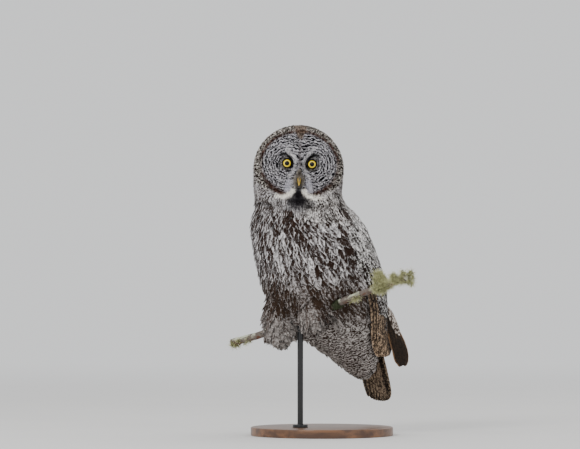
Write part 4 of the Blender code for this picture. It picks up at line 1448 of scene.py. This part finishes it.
@cache
def eye_material():
    """A living eye: matt pigment in the iris under a clear, wet cornea, so a clear coat over it."""
    sizes = bpy.context.scene.owl_sizes
    iris, pupil = sizes.iris / MM, sizes.pupil / MM
    return finish("wet_cornea_over_iris", (
        ("gaze", "UVMap", {"uv_map": "gaze"}),
        ("middle", "VectorMath", "gaze", (0.5, 0.5, 0.0), {"operation": "SUBTRACT"}),
        ("length", "VectorMath", "middle", {"operation": "LENGTH"}),
        ("radius", "MULTIPLY", "length.1", GAZE_WIDTH / MM),
        ("spoke", "VectorMath", "middle", {"operation": "NORMALIZE"}),
        ("fibre", NOISE, "spoke", 9.0, 3.0, 0.7),
        ("bright", BLEND, "fibre", tint("iris"), tint("iris_spark")),
        ("outer", RANGE, "radius", iris - 2.6, iris - 0.1),
        ("warm", BLEND, "outer", "bright.2", tint("iris_edge")),
        ("limb", RANGE, "radius", iris - 0.35, iris + 0.15),
        ("edged", BLEND, "limb", "warm.2", tint("limb")),
        ("pupil", RANGE, "radius", pupil + 0.25, pupil - 0.15),
        ("tone", BLEND, "pupil", "edged.2", tint("pupil")),
    ), Roughness=0.5, Specular_IOR_Level=0.1, Coat_Weight=0.45, Coat_Roughness=0.02, Coat_IOR=1.376)


def eyeball(name, side):
    """An eyeball with its pole at the middle of the gaze and a cornea that stands a little proud."""
    ball = EYE_RADIUS - EYE_GAP
    polar, turn = np.meshgrid(
        np.linspace(0, math.pi, EYE_ROWS)[1:-1], np.linspace(0, TURN, EYE_TURNS, endpoint=False), indexing="ij"
    )
    local = np.stack((np.sin(polar) * np.cos(turn), -np.cos(polar), np.sin(polar) * np.sin(turn)), -1)
    rings = local * (ball + CORNEA_RISE * ramp(polar, 0.75, 0.0))[..., None]
    poles = np.array(((0, -(ball + CORNEA_RISE), 0), (0, ball, 0)))
    middle = np.array((side * EYE_SPREAD, -EYE_DEPTH, EYE_RISE))
    mesh = capped(name, from_head(rings + middle), *from_head(poles + middle))
    points = np.vstack((rings.reshape(-1, 3), poles))
    flat = points[:, (0, 2)] / GAZE_WIDTH + 0.5
    back = points[:, 1] > 0
    flat[back] = 0.5 + unit(flat[back] - 0.5 + 1e-6) * 0.5
    write_map(mesh, "gaze", flat)
    return mesh


class OWL_OT_eyes(bpy.types.Operator):
    """Build both eyes: round pupil, yellow iris and clear cornea."""

    bl_idname = "owl.eyes"
    bl_label = "Eyes"

    def execute(self, context):
        for name, side in SIDES:
            show(eyeball(f"eyeball_{name}", side), f"eyeball_{name}", eye_material(), (f"eye_{name}",))
        return {"FINISHED"}


def smoothed(node, levels=2):
    """A CAD node's own shape with its facets rounded off."""
    piece = on_bench(joined([merged_copy(node)]))
    subdivide = piece.modifiers.new("round", "SUBSURF")
    subdivide.levels = subdivide.render_levels = levels
    return shade_round(finished(piece))


def horn(name, light, deep, scale, **sockets):
    """Horn, as in bills and claws: smooth keratin with a soft gloss and faint growth streaks, 2.5 by 10 mm."""
    return finish(name, (
        ("place", "TexCoord"),
        ("stretch", "Mapping", {"Vector": "place.3", "Scale": (1.0, 1.0, 0.25)}),
        ("grain", NOISE, "stretch", scale, 3.0),
        ("share", RANGE, "grain", 0.35, 0.68),
        ("tone", BLEND, "share", tint(light), tint(deep)),
        ("relief", "Bump", {"Strength": 0.25, "Distance": 0.0003, "Height": "grain"}),
    ), **sockets)


TALONS = ("inner", "middle", "outer", "hallux")


class OWL_OT_horn(bpy.types.Operator):
    """Round off and finish the bill and the claws."""

    bl_idname = "owl.horn"
    bl_label = "Bill and claws"

    def execute(self, context):
        wax = {"Roughness": 0.38, "Subsurface_Weight": 0.1}
        yellow = horn("yellow_bill_keratin", "bill", "bill_deep", 380.0, IOR=1.54, **wax)
        black = horn("black_claw_keratin", "claw", "claw_deep", 420.0, IOR=1.54, Roughness=0.3)
        for part in ("upper", "lower"):
            mesh = smoothed(f"bill_{part}")
            x, y, z = to_head(arrays(mesh)[0]).T
            # The bill is let in a little all over, and more at its root, where feathers cover it.
            root = ramp(z, -19, -13)
            move_to(mesh, from_head(np.stack((x * (0.92 - 0.35 * root), y + 2.2 * root, z), -1) * MM))
            show(mesh, f"bill_{part}_horn", yellow, (f"bill_{part}",))
        for name, _ in SIDES:
            for talon in TALONS:
                node = f"claw_{name}_{talon}"
                show(smoothed(node), f"talon_{name}_{talon}", black, (node,))
        return {"FINISHED"}


# Perch and stand.

# The bark's mesh, how deep its ridges are, and how much thinner the branch is away from the feet.
BARK_ROWS = 260
BARK_SIDES = 44
BARK_RELIEF = 0.0011
BARK_WAIST = 0.22
# The rings that close a sawn end, as shares of the branch's radius.
SAWN_RINGS = (0.35, 0.92)


def bark_mesh():
    """The branch: long ridges and cracks in the bark, slow swells along it, and sawn ends."""
    left = np.linspace(PERCH_START, PERCH_END, BARK_ROWS)
    place, _, fore, over = perch_frame(left)
    beyond = np.maximum(left - FOOT_SIDES[1], FOOT_SIDES[0] - left)
    radius = perch_radius(left) * (1 - BARK_WAIST * ramp(beyond, 0.030, 0.075))
    rings = np.empty((BARK_ROWS, BARK_SIDES, 3))
    for i, turn in enumerate(np.linspace(0, TURN, BARK_SIDES, endpoint=False)):
        across, up = math.cos(turn), math.sin(turn)
        for k in range(BARK_ROWS):
            spot = Vector((across * 2.2, up * 2.2, left[k] * 38))
            ridge = abs(noise.noise(spot * 1.3)) * 1.6 + abs(noise.noise(spot * 3.1 + Vector((7, 3, 1)))) * 0.7
            swell = noise.noise(Vector((left[k] * 22, across * 0.6, up * 0.6)))
            out = radius[k] - BARK_RELIEF * 0.9 + BARK_RELIEF * (ridge + swell * 0.8)
            rings[k, i] = place[k] + (fore[k] * across + over[k] * up) * out
    first, last = ([rings[k] * share + place[k] * (1 - share) for share in SAWN_RINGS] for k in (0, -1))
    shape = taken_up(capped("branch", np.array([*first, *rings, *last[::-1]]), place[0], place[-1]))
    bmesh.ops.recalc_face_normals(shape, faces=shape.faces)
    return shade_round(put_down(shape, "branch"))


def bark_material():
    """Dead conifer bark: dull grey-brown plates, rusty where it has flaked, with a crust of pale lichen on top.

    The plates are 7 mm and the patches 24 mm.
    """
    return finish("weathered_spruce_bark", (
        ("place", "TexCoord"),
        ("up", "NewGeometry"),
        ("facing", "SeparateXYZ", "up.1"),
        ("plates", NOISE, "place.3", 150.0, 4.0, 0.65),
        ("patches", NOISE, "place.3", 42.0, 3.0, 0.6),
        ("base", BLEND, "plates", tint("bark"), tint("bark_pale")),
        ("low", RANGE, "facing.2", 0.1, -0.6),
        ("worn", RANGE, "patches", 0.46, 0.60),
        ("rust", "MULTIPLY", "low", "worn"),
        ("rusty", BLEND, "rust", "base.2", tint("bark_rust")),
        ("high", RANGE, "facing.2", -0.3, 0.7),
        ("crust", RANGE, "patches", 0.50, 0.42),
        ("lichened", "MULTIPLY", "high", "crust"),
        ("tone", BLEND, "lichened", "rusty.2", tint("bark_crust")),
        ("relief", "Bump", {"Strength": 0.6, "Distance": 0.0008, "Height": "plates"}),
    ), Roughness=0.92, Specular_IOR_Level=0.15)


class OWL_OT_perch(bpy.types.Operator):
    """Build the cut branch with its bark."""

    bl_idname = "owl.perch"
    bl_label = "Branch"

    def execute(self, context):
        show(bark_mesh(), "branch", bark_material(), ("perch",))
        return {"FINISHED"}


# The stand: its base with a bevel under the edge and a round over it, and its rod with a collar at the foot.
BASE_RADIUS = 0.150
BASE_THICKNESS = 0.018
BASE_BEVEL = 0.0008
BASE_ROUND = 0.0025
ROD_RADIUS = 0.006
ROD_SIDE = -0.013
ROD_GAP = 0.0004
COLLAR_RADIUS = 0.016
COLLAR_HEIGHT = 0.006
COLLAR_ROUND = 0.001
TURNED_SIDES = 128
SHARP_ANGLE = math.radians(35)


def turned(name, profile, centre):
    """A closed shape turned on a lathe from a profile of radius and height pairs, from axis to axis."""
    turn = np.linspace(0, TURN, TURNED_SIDES, endpoint=False)
    rings = [[(centre[0] + r * math.cos(a), centre[1] + r * math.sin(a), z) for a in turn] for r, z in profile]
    shape = taken_up(mesh_of(name, np.array(rings).reshape(-1, 3), grid_faces(len(rings), TURNED_SIDES, True)))
    bmesh.ops.remove_doubles(shape, verts=shape.verts, dist=1e-6)
    bmesh.ops.recalc_face_normals(shape, faces=shape.faces)
    mesh = shade_round(put_down(shape, name))
    mesh.set_sharp_from_angle(angle=SHARP_ANGLE)
    return mesh


def rounded(corner, radius, start, steps=6):
    """A quarter round of a profile, from the upright side at start degrees."""
    angles = np.radians(start + np.linspace(0, 90, steps))
    return [(corner[0] + radius * math.cos(a), corner[1] + radius * math.sin(a)) for a in angles]


def wood_material():
    """Oiled walnut, sanded and hand rubbed: long brown figure, a low satin gloss.

    Real pores are a fifth of a millimetre across. They would be too fine to show, so they are drawn 1 mm wide.
    """
    return finish("oiled_walnut", (
        ("place", "TexCoord"),
        ("board", "Mapping", {"Vector": "place.3", "Scale": (1.0, 14.0, 14.0), "Rotation": (0, 0, 0.35)}),
        ("figure", NOISE, "board", 5.0, 4.0, {"Distortion": 0.6}),
        ("pores", NOISE, "board", 60.0, 2.0),
        ("share", RANGE, "figure", 0.30, 0.70),
        ("plain", BLEND, "share", tint("wood"), tint("wood_pale")),
        ("pore", RANGE, "pores", 0.62, 0.72),
        ("tone", BLEND, "pore", "plain.2", tint("wood_pore")),
        ("relief", "Bump", {"invert": True, "Strength": 0.2, "Distance": 0.0002, "Height": "pore"}),
    ), Roughness=0.42, Coat_Weight=0.15, Coat_Roughness=0.3)


def enamel_material():
    """Stove enamel on steel: satin black with the faintest orange peel, about 1 mm from bump to bump."""
    return finish("satin_black_enamel", (
        ("place", "TexCoord"),
        ("peel", NOISE, "place.3", 900.0, 1.0),
        ("tone", BLEND, "peel", tint("enamel"), tint("enamel_pale")),
        ("relief", "Bump", {"Strength": 0.08, "Distance": 0.0002, "Height": "peel"}),
    ), Roughness=0.35)


class OWL_OT_stand(bpy.types.Operator):
    """Build the stand: a turned wooden base and one steel rod up to the branch."""

    bl_idname = "owl.stand"
    bl_label = "Display stand"

    def execute(self, context):
        outside = [(0, 0), (BASE_RADIUS - BASE_BEVEL, 0), (BASE_RADIUS, BASE_BEVEL)]
        outside += rounded((BASE_RADIUS - BASE_ROUND, BASE_THICKNESS - BASE_ROUND), BASE_ROUND, 0)
        base = turned("stand_base_turned", outside + [(0, BASE_THICKNESS)], (0, 0))
        show(base, "stand_base_turned", wood_material(), ("stand_base",))
        place, _, _, _ = perch_frame(np.array((ROD_SIDE - 0.01, ROD_SIDE, ROD_SIDE + 0.01)))
        foot = BASE_THICKNESS + ROD_GAP
        collar = foot + COLLAR_HEIGHT
        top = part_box("stand_rod")[1].z
        profile = [(0, foot), (COLLAR_RADIUS, foot)]
        profile += rounded((COLLAR_RADIUS - COLLAR_ROUND, collar - COLLAR_ROUND), COLLAR_ROUND, 0)
        profile += [(ROD_RADIUS + 0.0006, collar), (ROD_RADIUS, collar + 0.0008), (ROD_RADIUS, top), (0, top)]
        rod = turned("stand_rod_turned", profile, place[1])
        show(rod, "stand_rod_turned", enamel_material(), ("stand_rod",))
        return {"FINISHED"}


# Bristles, lichen and moss, scattered with Geometry Nodes.


def blade(name, length, width, bends, curl, sway=0.0):
    """A thin, pointed, bent blade that grows along +Z from the origin, with its share of length stored.

    Bristles, lichen threads and moss leaves are a fifth of a millimetre wide or less. They would be too fine to
    show, so they are drawn about 1 mm wide at the root.
    """
    share = np.linspace(0, 1, bends)
    bow = curl * share**2 * length
    half = width / 2 * (1 - share**2.2)
    aside = sway * length * share * np.sin(share * 5.0)
    points = np.stack([np.stack((aside + way * half, bow, share * length), -1) for way in (-1, 1)], 1)
    mesh = mesh_of(name, points.reshape(-1, 3), grid_faces(bends, 2))
    mesh.attributes.new("share", "FLOAT", "POINT").data.foreach_set("value", np.repeat(share, 2).astype(np.float32))
    return mesh


def tuft(name, blades, length, width, bends, spread, seed):
    """Several bent blades that leave one root: a few dozen faces in all."""
    rng = np.random.default_rng(seed)
    shape = bmesh.new()
    for _ in range(blades):
        own, curl, sway = rng.uniform(0.6, 1.0), rng.uniform(0.3, 1.3), rng.uniform(-0.45, 0.45)
        mesh = blade("part", length * own, width, bends, curl, sway)
        tilt = Matrix.Rotation(rng.uniform(0, TURN), 4, "Z") @ Matrix.Rotation(rng.uniform(0, spread), 4, "X")
        mesh.transform(tilt @ Matrix.Rotation(rng.uniform(0, TURN), 4, "Z"))
        shape.from_mesh(mesh)
    return put_down(shape, name)


SCATTER_INPUTS = (
    ("Shape", "Object", None), ("Material", "Material", None), ("Density", "Float", 1.0),
    ("Smallest", "Float", 0.7), ("Largest", "Float", 1.2), ("Lean", "Float", 0.3), ("Seed", "Int", 1),
)


@cache
def scatter_tree():
    """Spreads a shape over a bed by density, combed along the bed's own comb directions, and makes it real."""
    tree = bpy.data.node_groups.new("scattered_growth", "GeometryNodeTree")
    tree.interface.new_socket("Bed", in_out="INPUT", socket_type="NodeSocketGeometry")
    for name, kind, value in SCATTER_INPUTS:
        socket = tree.interface.new_socket(name, in_out="INPUT", socket_type=f"NodeSocket{kind}")
        if value is not None:
            socket.default_value = value
    tree.interface.new_socket("Growth", in_out="OUTPUT", socket_type="NodeSocketGeometry")
    wire(tree, (
        ("in", "NodeGroupInput"),
        ("points", "GeometryNodeDistributePointsOnFaces", {
            "distribute_method": "RANDOM", "Mesh": "in.0", "Density": "in.3", "Seed": "in.7",
        }),
        ("shape", "GeometryNodeObjectInfo", {"Object": "in.1"}),
        ("combed", "GeometryNodeInputNamedAttribute", {"data_type": "FLOAT_VECTOR", "Name": "comb"}),
        ("aim", "FunctionNodeAlignRotationToVector", {"axis": "Z", "Vector": "combed"}),
        ("less", "MULTIPLY", "in.6", -1.0),
        ("low", "CombineXYZ", "less", "less", -math.pi),
        ("high", "CombineXYZ", "in.6", "in.6", math.pi),
        ("lean", "FunctionNodeRandomValue", "low", "high", {"data_type": "FLOAT_VECTOR", "Seed": "in.7"}),
        ("turn", "FunctionNodeEulerToRotation", "lean"),
        ("way", "FunctionNodeRotateRotation", "aim", "turn", {"rotation_space": "LOCAL"}),
        ("size", "FunctionNodeRandomValue", {"data_type": "FLOAT", 2: "in.4", 3: "in.5", "Seed": "in.7"}),
        ("placed", "GeometryNodeInstanceOnPoints", {
            "Points": "points", "Instance": "shape.4", "Rotation": "way", "Scale": "size.1",
        }),
        ("real", "GeometryNodeRealizeInstances", "placed"),
        ("painted", "GeometryNodeSetMaterial", {"Geometry": "real", "Material": "in.2"}),
        ("out", "NodeGroupOutput", "painted"),
    ))
    return tree


def grow(bed, shape, material, density, sizes, lean, seed):
    """Grows a shape over a bed mesh with the node tree and gives the finished mesh."""
    stock = bpy.data.objects.new("stock", shape)
    piece = on_bench(bed)
    modifier = piece.modifiers.new("growth", "NODES")
    modifier.node_group = scatter_tree()
    values = dict(zip([row[0] for row in SCATTER_INPUTS], (stock, material, density, *sizes, lean, seed)))
    for item in scatter_tree().interface.items_tree:
        if item.in_out == "INPUT" and item.name in values:
            modifier[item.identifier] = values[item.name]
    mesh = finished(piece)
    bpy.data.objects.remove(stock)
    return mesh


def bed_of(name, points, triangles, wanted, comb):
    """A bed: the wanted triangles with a comb direction at each point."""
    kept = triangles[wanted]
    used, index = np.unique(kept, return_inverse=True)
    mesh = mesh_of(name, points[used], index.reshape(-1, 3))
    layer = mesh.attributes.new("comb", "FLOAT_VECTOR", "POINT")
    layer.data.foreach_set("vector", comb[used].astype(np.float32).ravel())
    return mesh


def growth_material(name, root, tip, scale):
    """Dry matt growth that pales or darkens from its root to its tip, with blotches 2 to 6 mm wide."""
    return finish(name, (
        ("share", "Attribute", {"attribute_name": "share"}),
        ("place", "TexCoord"),
        ("blotch", NOISE, "place.3", scale, 2.0),
        ("off", "MULTIPLY_ADD", "blotch", 1.4, -0.7),
        ("mix", "ADD", "share.2", "off", {"use_clamp": True}),
        ("tone", BLEND, "mix", tint(root), tint(tip)),
    ), Roughness=0.9, Specular_IOR_Level=0.1)


# Bristles: how many to the square metre of bed, bends and width of one, and how deep in the coat their bed lies.
BRISTLE_DENSITY = 1100000.0
BRISTLE_BENDS = 6
BRISTLE_WIDTH = 0.0011
BRISTLE_ROOTS = 2 * MM
# The bill's root that they cover ends at this height, in millimetres from the head's middle.
CERE_END = -15.5


def bristle_bed():
    """The feathered skin beside the root of the bill, combed forwards and down."""
    shape = hull()
    points = shape.points - shape.normals * BRISTLE_ROOTS
    x, _, z = to_head(points).T
    comb = unit(np.stack((-0.40 * x / 9, np.full_like(x, -0.80), np.where(z > -12, -0.56, -0.46)), -1))
    across, depth, height = to_head(shape.points)[shape.triangles].mean(1).T
    across = np.abs(across)
    outside = across > np.interp(height, (-30, -12, -4), (4, 3, 0))
    inside = across < np.interp(height, (-33, -20, 3), (11.5, 11.0, 2.0))
    wanted = (depth < -38) & (height > -33) & (height < 3) & outside & inside
    return bed_of("bristle_bed", points, shape.triangles, wanted, comb @ HEAD_TURN.T)


def cere_bed():
    """The root of the bill itself, combed down."""
    points, _, triangles = arrays(joined([merged_copy("bill_upper")]))
    x, _, z = to_head(points).T
    comb = unit(np.stack((x * 0.03, np.full_like(x, -0.42), np.full_like(x, -0.90)), -1))
    return bed_of("cere_bed", points, triangles, z[triangles].max(1) > CERE_END, comb @ HEAD_TURN.T)


class OWL_OT_bristles(bpy.types.Operator):
    """Grow the bristles that hide the root of the bill."""

    bl_idname = "owl.bristles"
    bl_label = "Bristles round the bill"

    def execute(self, context):
        bristle = blade("bristle", context.scene.owl_sizes.bristle, BRISTLE_WIDTH, BRISTLE_BENDS, 0.12)
        wiry = growth_material("wiry_bristle", "bristle_root", "bristle_tip", 500.0)
        mesh = joined([
            taken_up(grow(bed, bristle, wiry, BRISTLE_DENSITY, sizes, 0.16, seed))
            for bed, sizes, seed in ((bristle_bed(), (0.55, 1.05), 61), (cere_bed(), (0.28, 0.50), 62))
        ])
        corners = 2 * BRISTLE_BENDS
        roots = arrays(mesh)[0].reshape(-1, corners, 3)[:, 0]
        own = grid_map(np.linspace(0, 1, 2), np.linspace(0, 1, BRISTLE_BENDS)) - 0.5
        write_map(mesh, "OFBake", np.repeat(unwrap(roots), corners, 0) + np.tile(own, (len(roots), 1)) * PATCH)
        show(mesh, "bristles", wiry)
        return {"FINISHED"}


# Where growth sits on the branch: from and to along it, its lean, how far round it goes, height of its clumps.
LICHEN = ((0.200, 0.286, 0.0, 3.2, 0.019), (0.128, 0.160, 0.2, 1.0, 0.003), (-0.205, -0.150, 0.4, 1.1, 0.003))
MOSS = ((0.052, 0.100, 0.2, 1.9, 0.002),)
BED_ROWS, BED_COLUMNS = 24, 15


def branch_bed(name, rows):
    """A strip of the branch's skin for lichen or moss to grow on, combed outwards."""
    strips, faces, combs = [], [], []
    for start, stop, lean, spread, bulge in rows:
        left = np.linspace(start, min(stop, PERCH_END), BED_ROWS)
        place, _, fore, over = perch_frame(left)
        radius = perch_radius(left)[:, None, None] * (1 - BARK_WAIST) * 0.9
        turn = np.linspace(-spread, spread, BED_COLUMNS) + math.pi / 2 - lean
        out = fore[:, None] * np.cos(turn)[None, :, None] + over[:, None] * np.sin(turn)[None, :, None]
        skin = place[:, None] + out * radius
        clump = np.clip(0.25 + wander((skin * 42).reshape(-1, 3), 11.0).reshape(BED_ROWS, -1), 0, 1)
        cells = grid_faces(BED_ROWS, BED_COLUMNS) + sum(len(s) for s in strips)
        faces += [cells[:, :3], cells[:, (0, 2, 3)]]
        strips.append((skin + (out + 0.3 * UP) * (clump * bulge)[..., None]).reshape(-1, 3))
        combs.append(unit(out + 0.3 * UP).reshape(-1, 3))
    faces, points = np.vstack(faces), np.vstack(strips)
    return bed_of(name, points, faces, wander(points[faces[:, 0]] * 55, 5.0) > -0.25, np.vstack(combs))


class OWL_OT_growth(bpy.types.Operator):
    """Grow beard lichen and moss on the branch."""

    bl_idname = "owl.growth"
    bl_label = "Lichen and moss"

    def execute(self, context):
        pale = growth_material("beard_lichen", "lichen_root", "lichen_tip", 160.0)
        green = growth_material("cushion_moss", "moss_root", "moss_tip", 200.0)
        beard = tuft("beard_tuft", 9, context.scene.owl_sizes.lichen, 0.0009, 6, 2.8, 71)
        cushion = tuft("moss_tuft", 6, context.scene.owl_sizes.moss, 0.0010, 4, 0.9, 72)
        lichen = grow(branch_bed("lichen_bed", LICHEN), beard, pale, 200000.0, (0.35, 1.00), 1.0, 73)
        moss = grow(branch_bed("moss_bed", MOSS), cushion, green, 420000.0, (0.6, 1.2), 0.4, 74)
        for mesh, name, material in ((lichen, "lichen", pale), (moss, "moss", green)):
            show(mesh, name, material)
        return {"FINISHED"}


# Floor, light and camera.

# The photo's width in pixels and the size of one of them on the owl, in metres.
PHOTO_WIDTH = 580
PIXEL = 0.0021
# The camera: how far off it stands, its sensor in millimetres, what it aims at and how many degrees it looks down.
VIEW_DISTANCE = 9.0
SENSOR = 36.0
VIEW_MIDDLE = (-0.0672, -0.03, 0.4442)
CAMERA_RISE = 0.0
FLOOR_RADIUS = 60.0
LAMP_AIM = (-0.05, 0, 0.4)
# Each lamp's name, place and width.
LAMPS = (
    ("key", (-1.6, -2.6, 2.6), 1.2),
    ("fill", (2.4, -2.4, 1.2), 2.2),
    ("top", (0.2, 0.2, 3.0), 2.0),
    ("rim", (1.6, 2.2, 1.8), 1.2),
)


def floor_material():
    """Pale paper on the floor near the stand, which melts into the pale room further off.

    Paper fibres would be too fine to show, so they are drawn as faint clouds a third of a metre wide.
    """
    material = finish("pale_paper_floor", (
        ("place", "TexCoord"),
        ("fibre", NOISE, "place.3", 3.0, 2.0),
        ("tone", BLEND, "fibre", tint("floor"), tint("floor_pale")),
    ), Roughness=0.9, Specular_IOR_Level=0.1)
    tree = material.node_tree
    made = wire(tree, (
        ("place", "TexCoord"),
        ("away", "VectorMath", "place.3", {"operation": "LENGTH"}),
        ("share", RANGE, "away.1", 0.6, 5.0),
        ("far", "Emission", tint("room"), bpy.context.scene.owl_light.room),
        ("both", "MixShader", "share", tree.nodes["Principled BSDF"].outputs[0], "far"),
    ))
    tree.links.new(outlet(made, "both"), tree.nodes["Material Output"].inputs["Surface"])
    return material


class OWL_OT_stage(bpy.types.Operator):
    """Set the floor, soft studio light and the camera."""

    bl_idname = "owl.stage"
    bl_label = "Floor, light and camera"

    def execute(self, context):
        scene = context.scene
        shape = bmesh.new()
        bmesh.ops.create_circle(shape, cap_ends=True, segments=96, radius=FLOOR_RADIUS)
        mesh = put_down(shape, "floor")
        mesh.materials.append(floor_material())
        floor = bpy.data.objects.new("floor", mesh)
        scene.collection.objects.link(floor)
        for name, place, size in LAMPS:
            light = bpy.data.lights.new(name, "AREA")
            light.shape = "DISK"
            light.size = size
            light.energy = getattr(scene.owl_light, name)
            lamp = bpy.data.objects.new(name, light)
            lamp.location = place
            lamp.rotation_euler = (Vector(LAMP_AIM) - Vector(place)).to_track_quat("-Z", "Y").to_euler()
            scene.collection.objects.link(lamp)
        world = bpy.data.worlds.new("pale_room")
        world.use_nodes = True
        background = world.node_tree.nodes["Background"]
        background.inputs[0].default_value = tint("room")
        background.inputs[1].default_value = scene.owl_light.room
        scene.world = world
        camera = bpy.data.cameras.new("camera")
        camera.sensor_width = SENSOR
        camera.lens = SENSOR * VIEW_DISTANCE / (PHOTO_WIDTH * PIXEL)
        camera.clip_end = FLOOR_RADIUS
        eye = bpy.data.objects.new("camera", camera)
        rise = math.radians(CAMERA_RISE)
        eye.location = Vector(VIEW_MIDDLE) + Vector((0, -math.cos(rise), math.sin(rise))) * VIEW_DISTANCE
        eye.rotation_euler = (math.pi / 2 - rise, 0, 0)
        scene.collection.objects.link(eye)
        scene.camera = eye
        return {"FINISHED"}


# What the user may change.


class OWL_PG_plumage(bpy.types.PropertyGroup):
    """The pale and the dark colour of each part of the plumage."""

    __annotations__ = {
        f"{part}_{tone}": colour(
            f"{part.replace('_', ' ').capitalize()}, {tone}",
            f"{tone.capitalize()} colour of the {part.replace('_', ' ')} markings",
            getattr(layer, tone),
        )
        for part, layer in {**COAT, **FLIGHT_COAT}.items()
        for tone in ("pale", "dark")
    }


class OWL_PG_feathers(bpy.types.PropertyGroup):
    """How long and how wide the feathers of each piece of the coat are."""

    __annotations__ = {
        f"{tract.name}_{kind}": length(
            f"{tract.name[5:].capitalize()} feathers, {kind}",
            f"{kind.capitalize()} of one feather, where the coat is at full size",
            getattr(tract, kind),
        )
        for tract, area in HEAD_COAT + BODY_COAT + LEG_COAT + WING_COAT
        for kind in ("length", "width")
    }


class OWL_PG_sizes(bpy.types.PropertyGroup):
    """Sizes of the eyes, the bristles and the growth on the branch."""

    iris: length("Iris", "Radius of the iris", 0.0079)
    pupil: length("Pupil", "Radius of the pupil", 0.0049)
    bristle: length("Bristles", "Length of the bristles at the root of the bill", 0.0170)
    lichen: length("Lichen", "Length of a thread of beard lichen", 0.0135)
    moss: length("Moss", "Height of a moss shoot", 0.0065)


# Every colour but those of the feathers.
FINISHES = {
    "iris": ("Main yellow of the iris", "#EBCB22"),
    "iris_spark": ("Bright threads that run out through the iris", "#FFEC4A"),
    "iris_edge": ("Warmer yellow near the edge of the iris", "#E4BE1C"),
    "limb": ("Dark ring round the iris", "#0B0908"),
    "pupil": ("Black of the pupil", "#040406"),
    "bill": ("Wax yellow of the bill", "#D9B13A"),
    "bill_deep": ("Browner yellow in the streaks of the bill", "#A9851F"),
    "claw": ("Grey black of the claws", "#2A2626"),
    "claw_deep": ("Deepest black of the claws", "#0D0B0B"),
    "bristle_root": ("Grey at the root of a bristle", "#8E877E"),
    "bristle_tip": ("Brown at the tip of a bristle", "#4A4238"),
    "bark": ("Dark in the cracks of the bark", "#2E2620"),
    "bark_pale": ("Weathered grey of the bark's plates", "#8B8078"),
    "bark_rust": ("Rusty brown where bark has flaked", "#634334"),
    "bark_crust": ("Crust of lichen on the bark's upper side", "#B9BCA6"),
    "lichen_root": ("Olive at the root of the beard lichen", "#6A6A45"),
    "lichen_tip": ("Straw green at its tips", "#CFCE9E"),
    "moss_root": ("Dark green at the root of the moss", "#242A1C"),
    "moss_tip": ("Dull green at its tips", "#50563F"),
    "wood": ("Brown of the stand's walnut", "#4A3020"),
    "wood_pale": ("Paler figure in the walnut", "#7A5335"),
    "wood_pore": ("Dark pores of the walnut", "#2C1B11"),
    "enamel": ("Black enamel of the rod", "#101011"),
    "enamel_pale": ("Where the enamel's peel shows paler", "#1D1D1F"),
    "floor": ("Pale paper near the stand", "#D2D1CF"),
    "floor_pale": ("Paler fibres in the paper", "#D9D8D6"),
    "room": ("Colour of the room all round", "#E9EAEB"),
}


class OWL_PG_finishes(bpy.types.PropertyGroup):
    """Colours of everything but the feathers."""

    __annotations__ = {
        name: colour(name.replace("_", " ").capitalize(), about, value) for name, (about, value) in FINISHES.items()
    }


def lamp_power(name, description, value):
    """The power of a lamp that the user may change."""
    return bpy.props.FloatProperty(name=name, description=description, default=value, min=0, unit="POWER")


class OWL_PG_light(bpy.types.PropertyGroup):
    """Strength of the studio light."""

    key: lamp_power("Key light", "Power of the main lamp, in front and above on the left", 74.0)
    fill: lamp_power("Fill light", "Power of the lamp in front on the right", 9.0)
    top: lamp_power("Top light", "Power of the lamp overhead", 20.0)
    rim: lamp_power("Rim light", "Power of the lamp behind", 10.0)
    room: bpy.props.FloatProperty(
        name="Room light", description="Strength of the light from the room all round", default=1.15, min=0
    )


GROUPS = {
    "owl_plumage": OWL_PG_plumage,
    "owl_feathers": OWL_PG_feathers,
    "owl_sizes": OWL_PG_sizes,
    "owl_finishes": OWL_PG_finishes,
    "owl_light": OWL_PG_light,
}


class OWL_PT_sidebar(bpy.types.Panel):
    """Lists the owl's pieces, and the sizes, colours and lamps that may be changed first."""

    bl_idname = "OWL_PT_sidebar"
    bl_label = "Great grey owl"
    bl_space_type = "VIEW_3D"
    bl_region_type = "UI"
    bl_category = "Owl"

    def draw(self, context):
        for operator in OPERATORS:
            self.layout.operator(operator.bl_idname)
        for name, group in GROUPS.items():
            box = self.layout.column(heading=group.__doc__)
            for field in group.__annotations__:
                box.prop(getattr(context.scene, name), field)


OPERATORS = (
    OWL_OT_skin,
    OWL_OT_head_coat,
    OWL_OT_body_coat,
    OWL_OT_wings,
    OWL_OT_flight,
    OWL_OT_eyes,
    OWL_OT_horn,
    OWL_OT_bristles,
    OWL_OT_perch,
    OWL_OT_growth,
    OWL_OT_stand,
    OWL_OT_stage,
)
CLASSES = tuple(GROUPS.values()) + OPERATORS + (OWL_PT_sidebar,)


def register():
    """Adds the owl's classes and what may be changed to Blender."""
    for item in CLASSES:
        bpy.utils.register_class(item)
    for name, group in GROUPS.items():
        setattr(bpy.types.Scene, name, bpy.props.PointerProperty(type=group))


def unregister():
    """Takes them out again."""
    for name in GROUPS:
        delattr(bpy.types.Scene, name)
    for item in reversed(CLASSES):
        bpy.utils.unregister_class(item)


def main():
    """Builds every piece in order and writes the boxes of the CAD and of the finished model."""
    register()
    for operator in OPERATORS:
        group, name = operator.bl_idname.split(".")
        getattr(getattr(bpy.ops, group), name)()


if __name__ == "__main__":
    main()
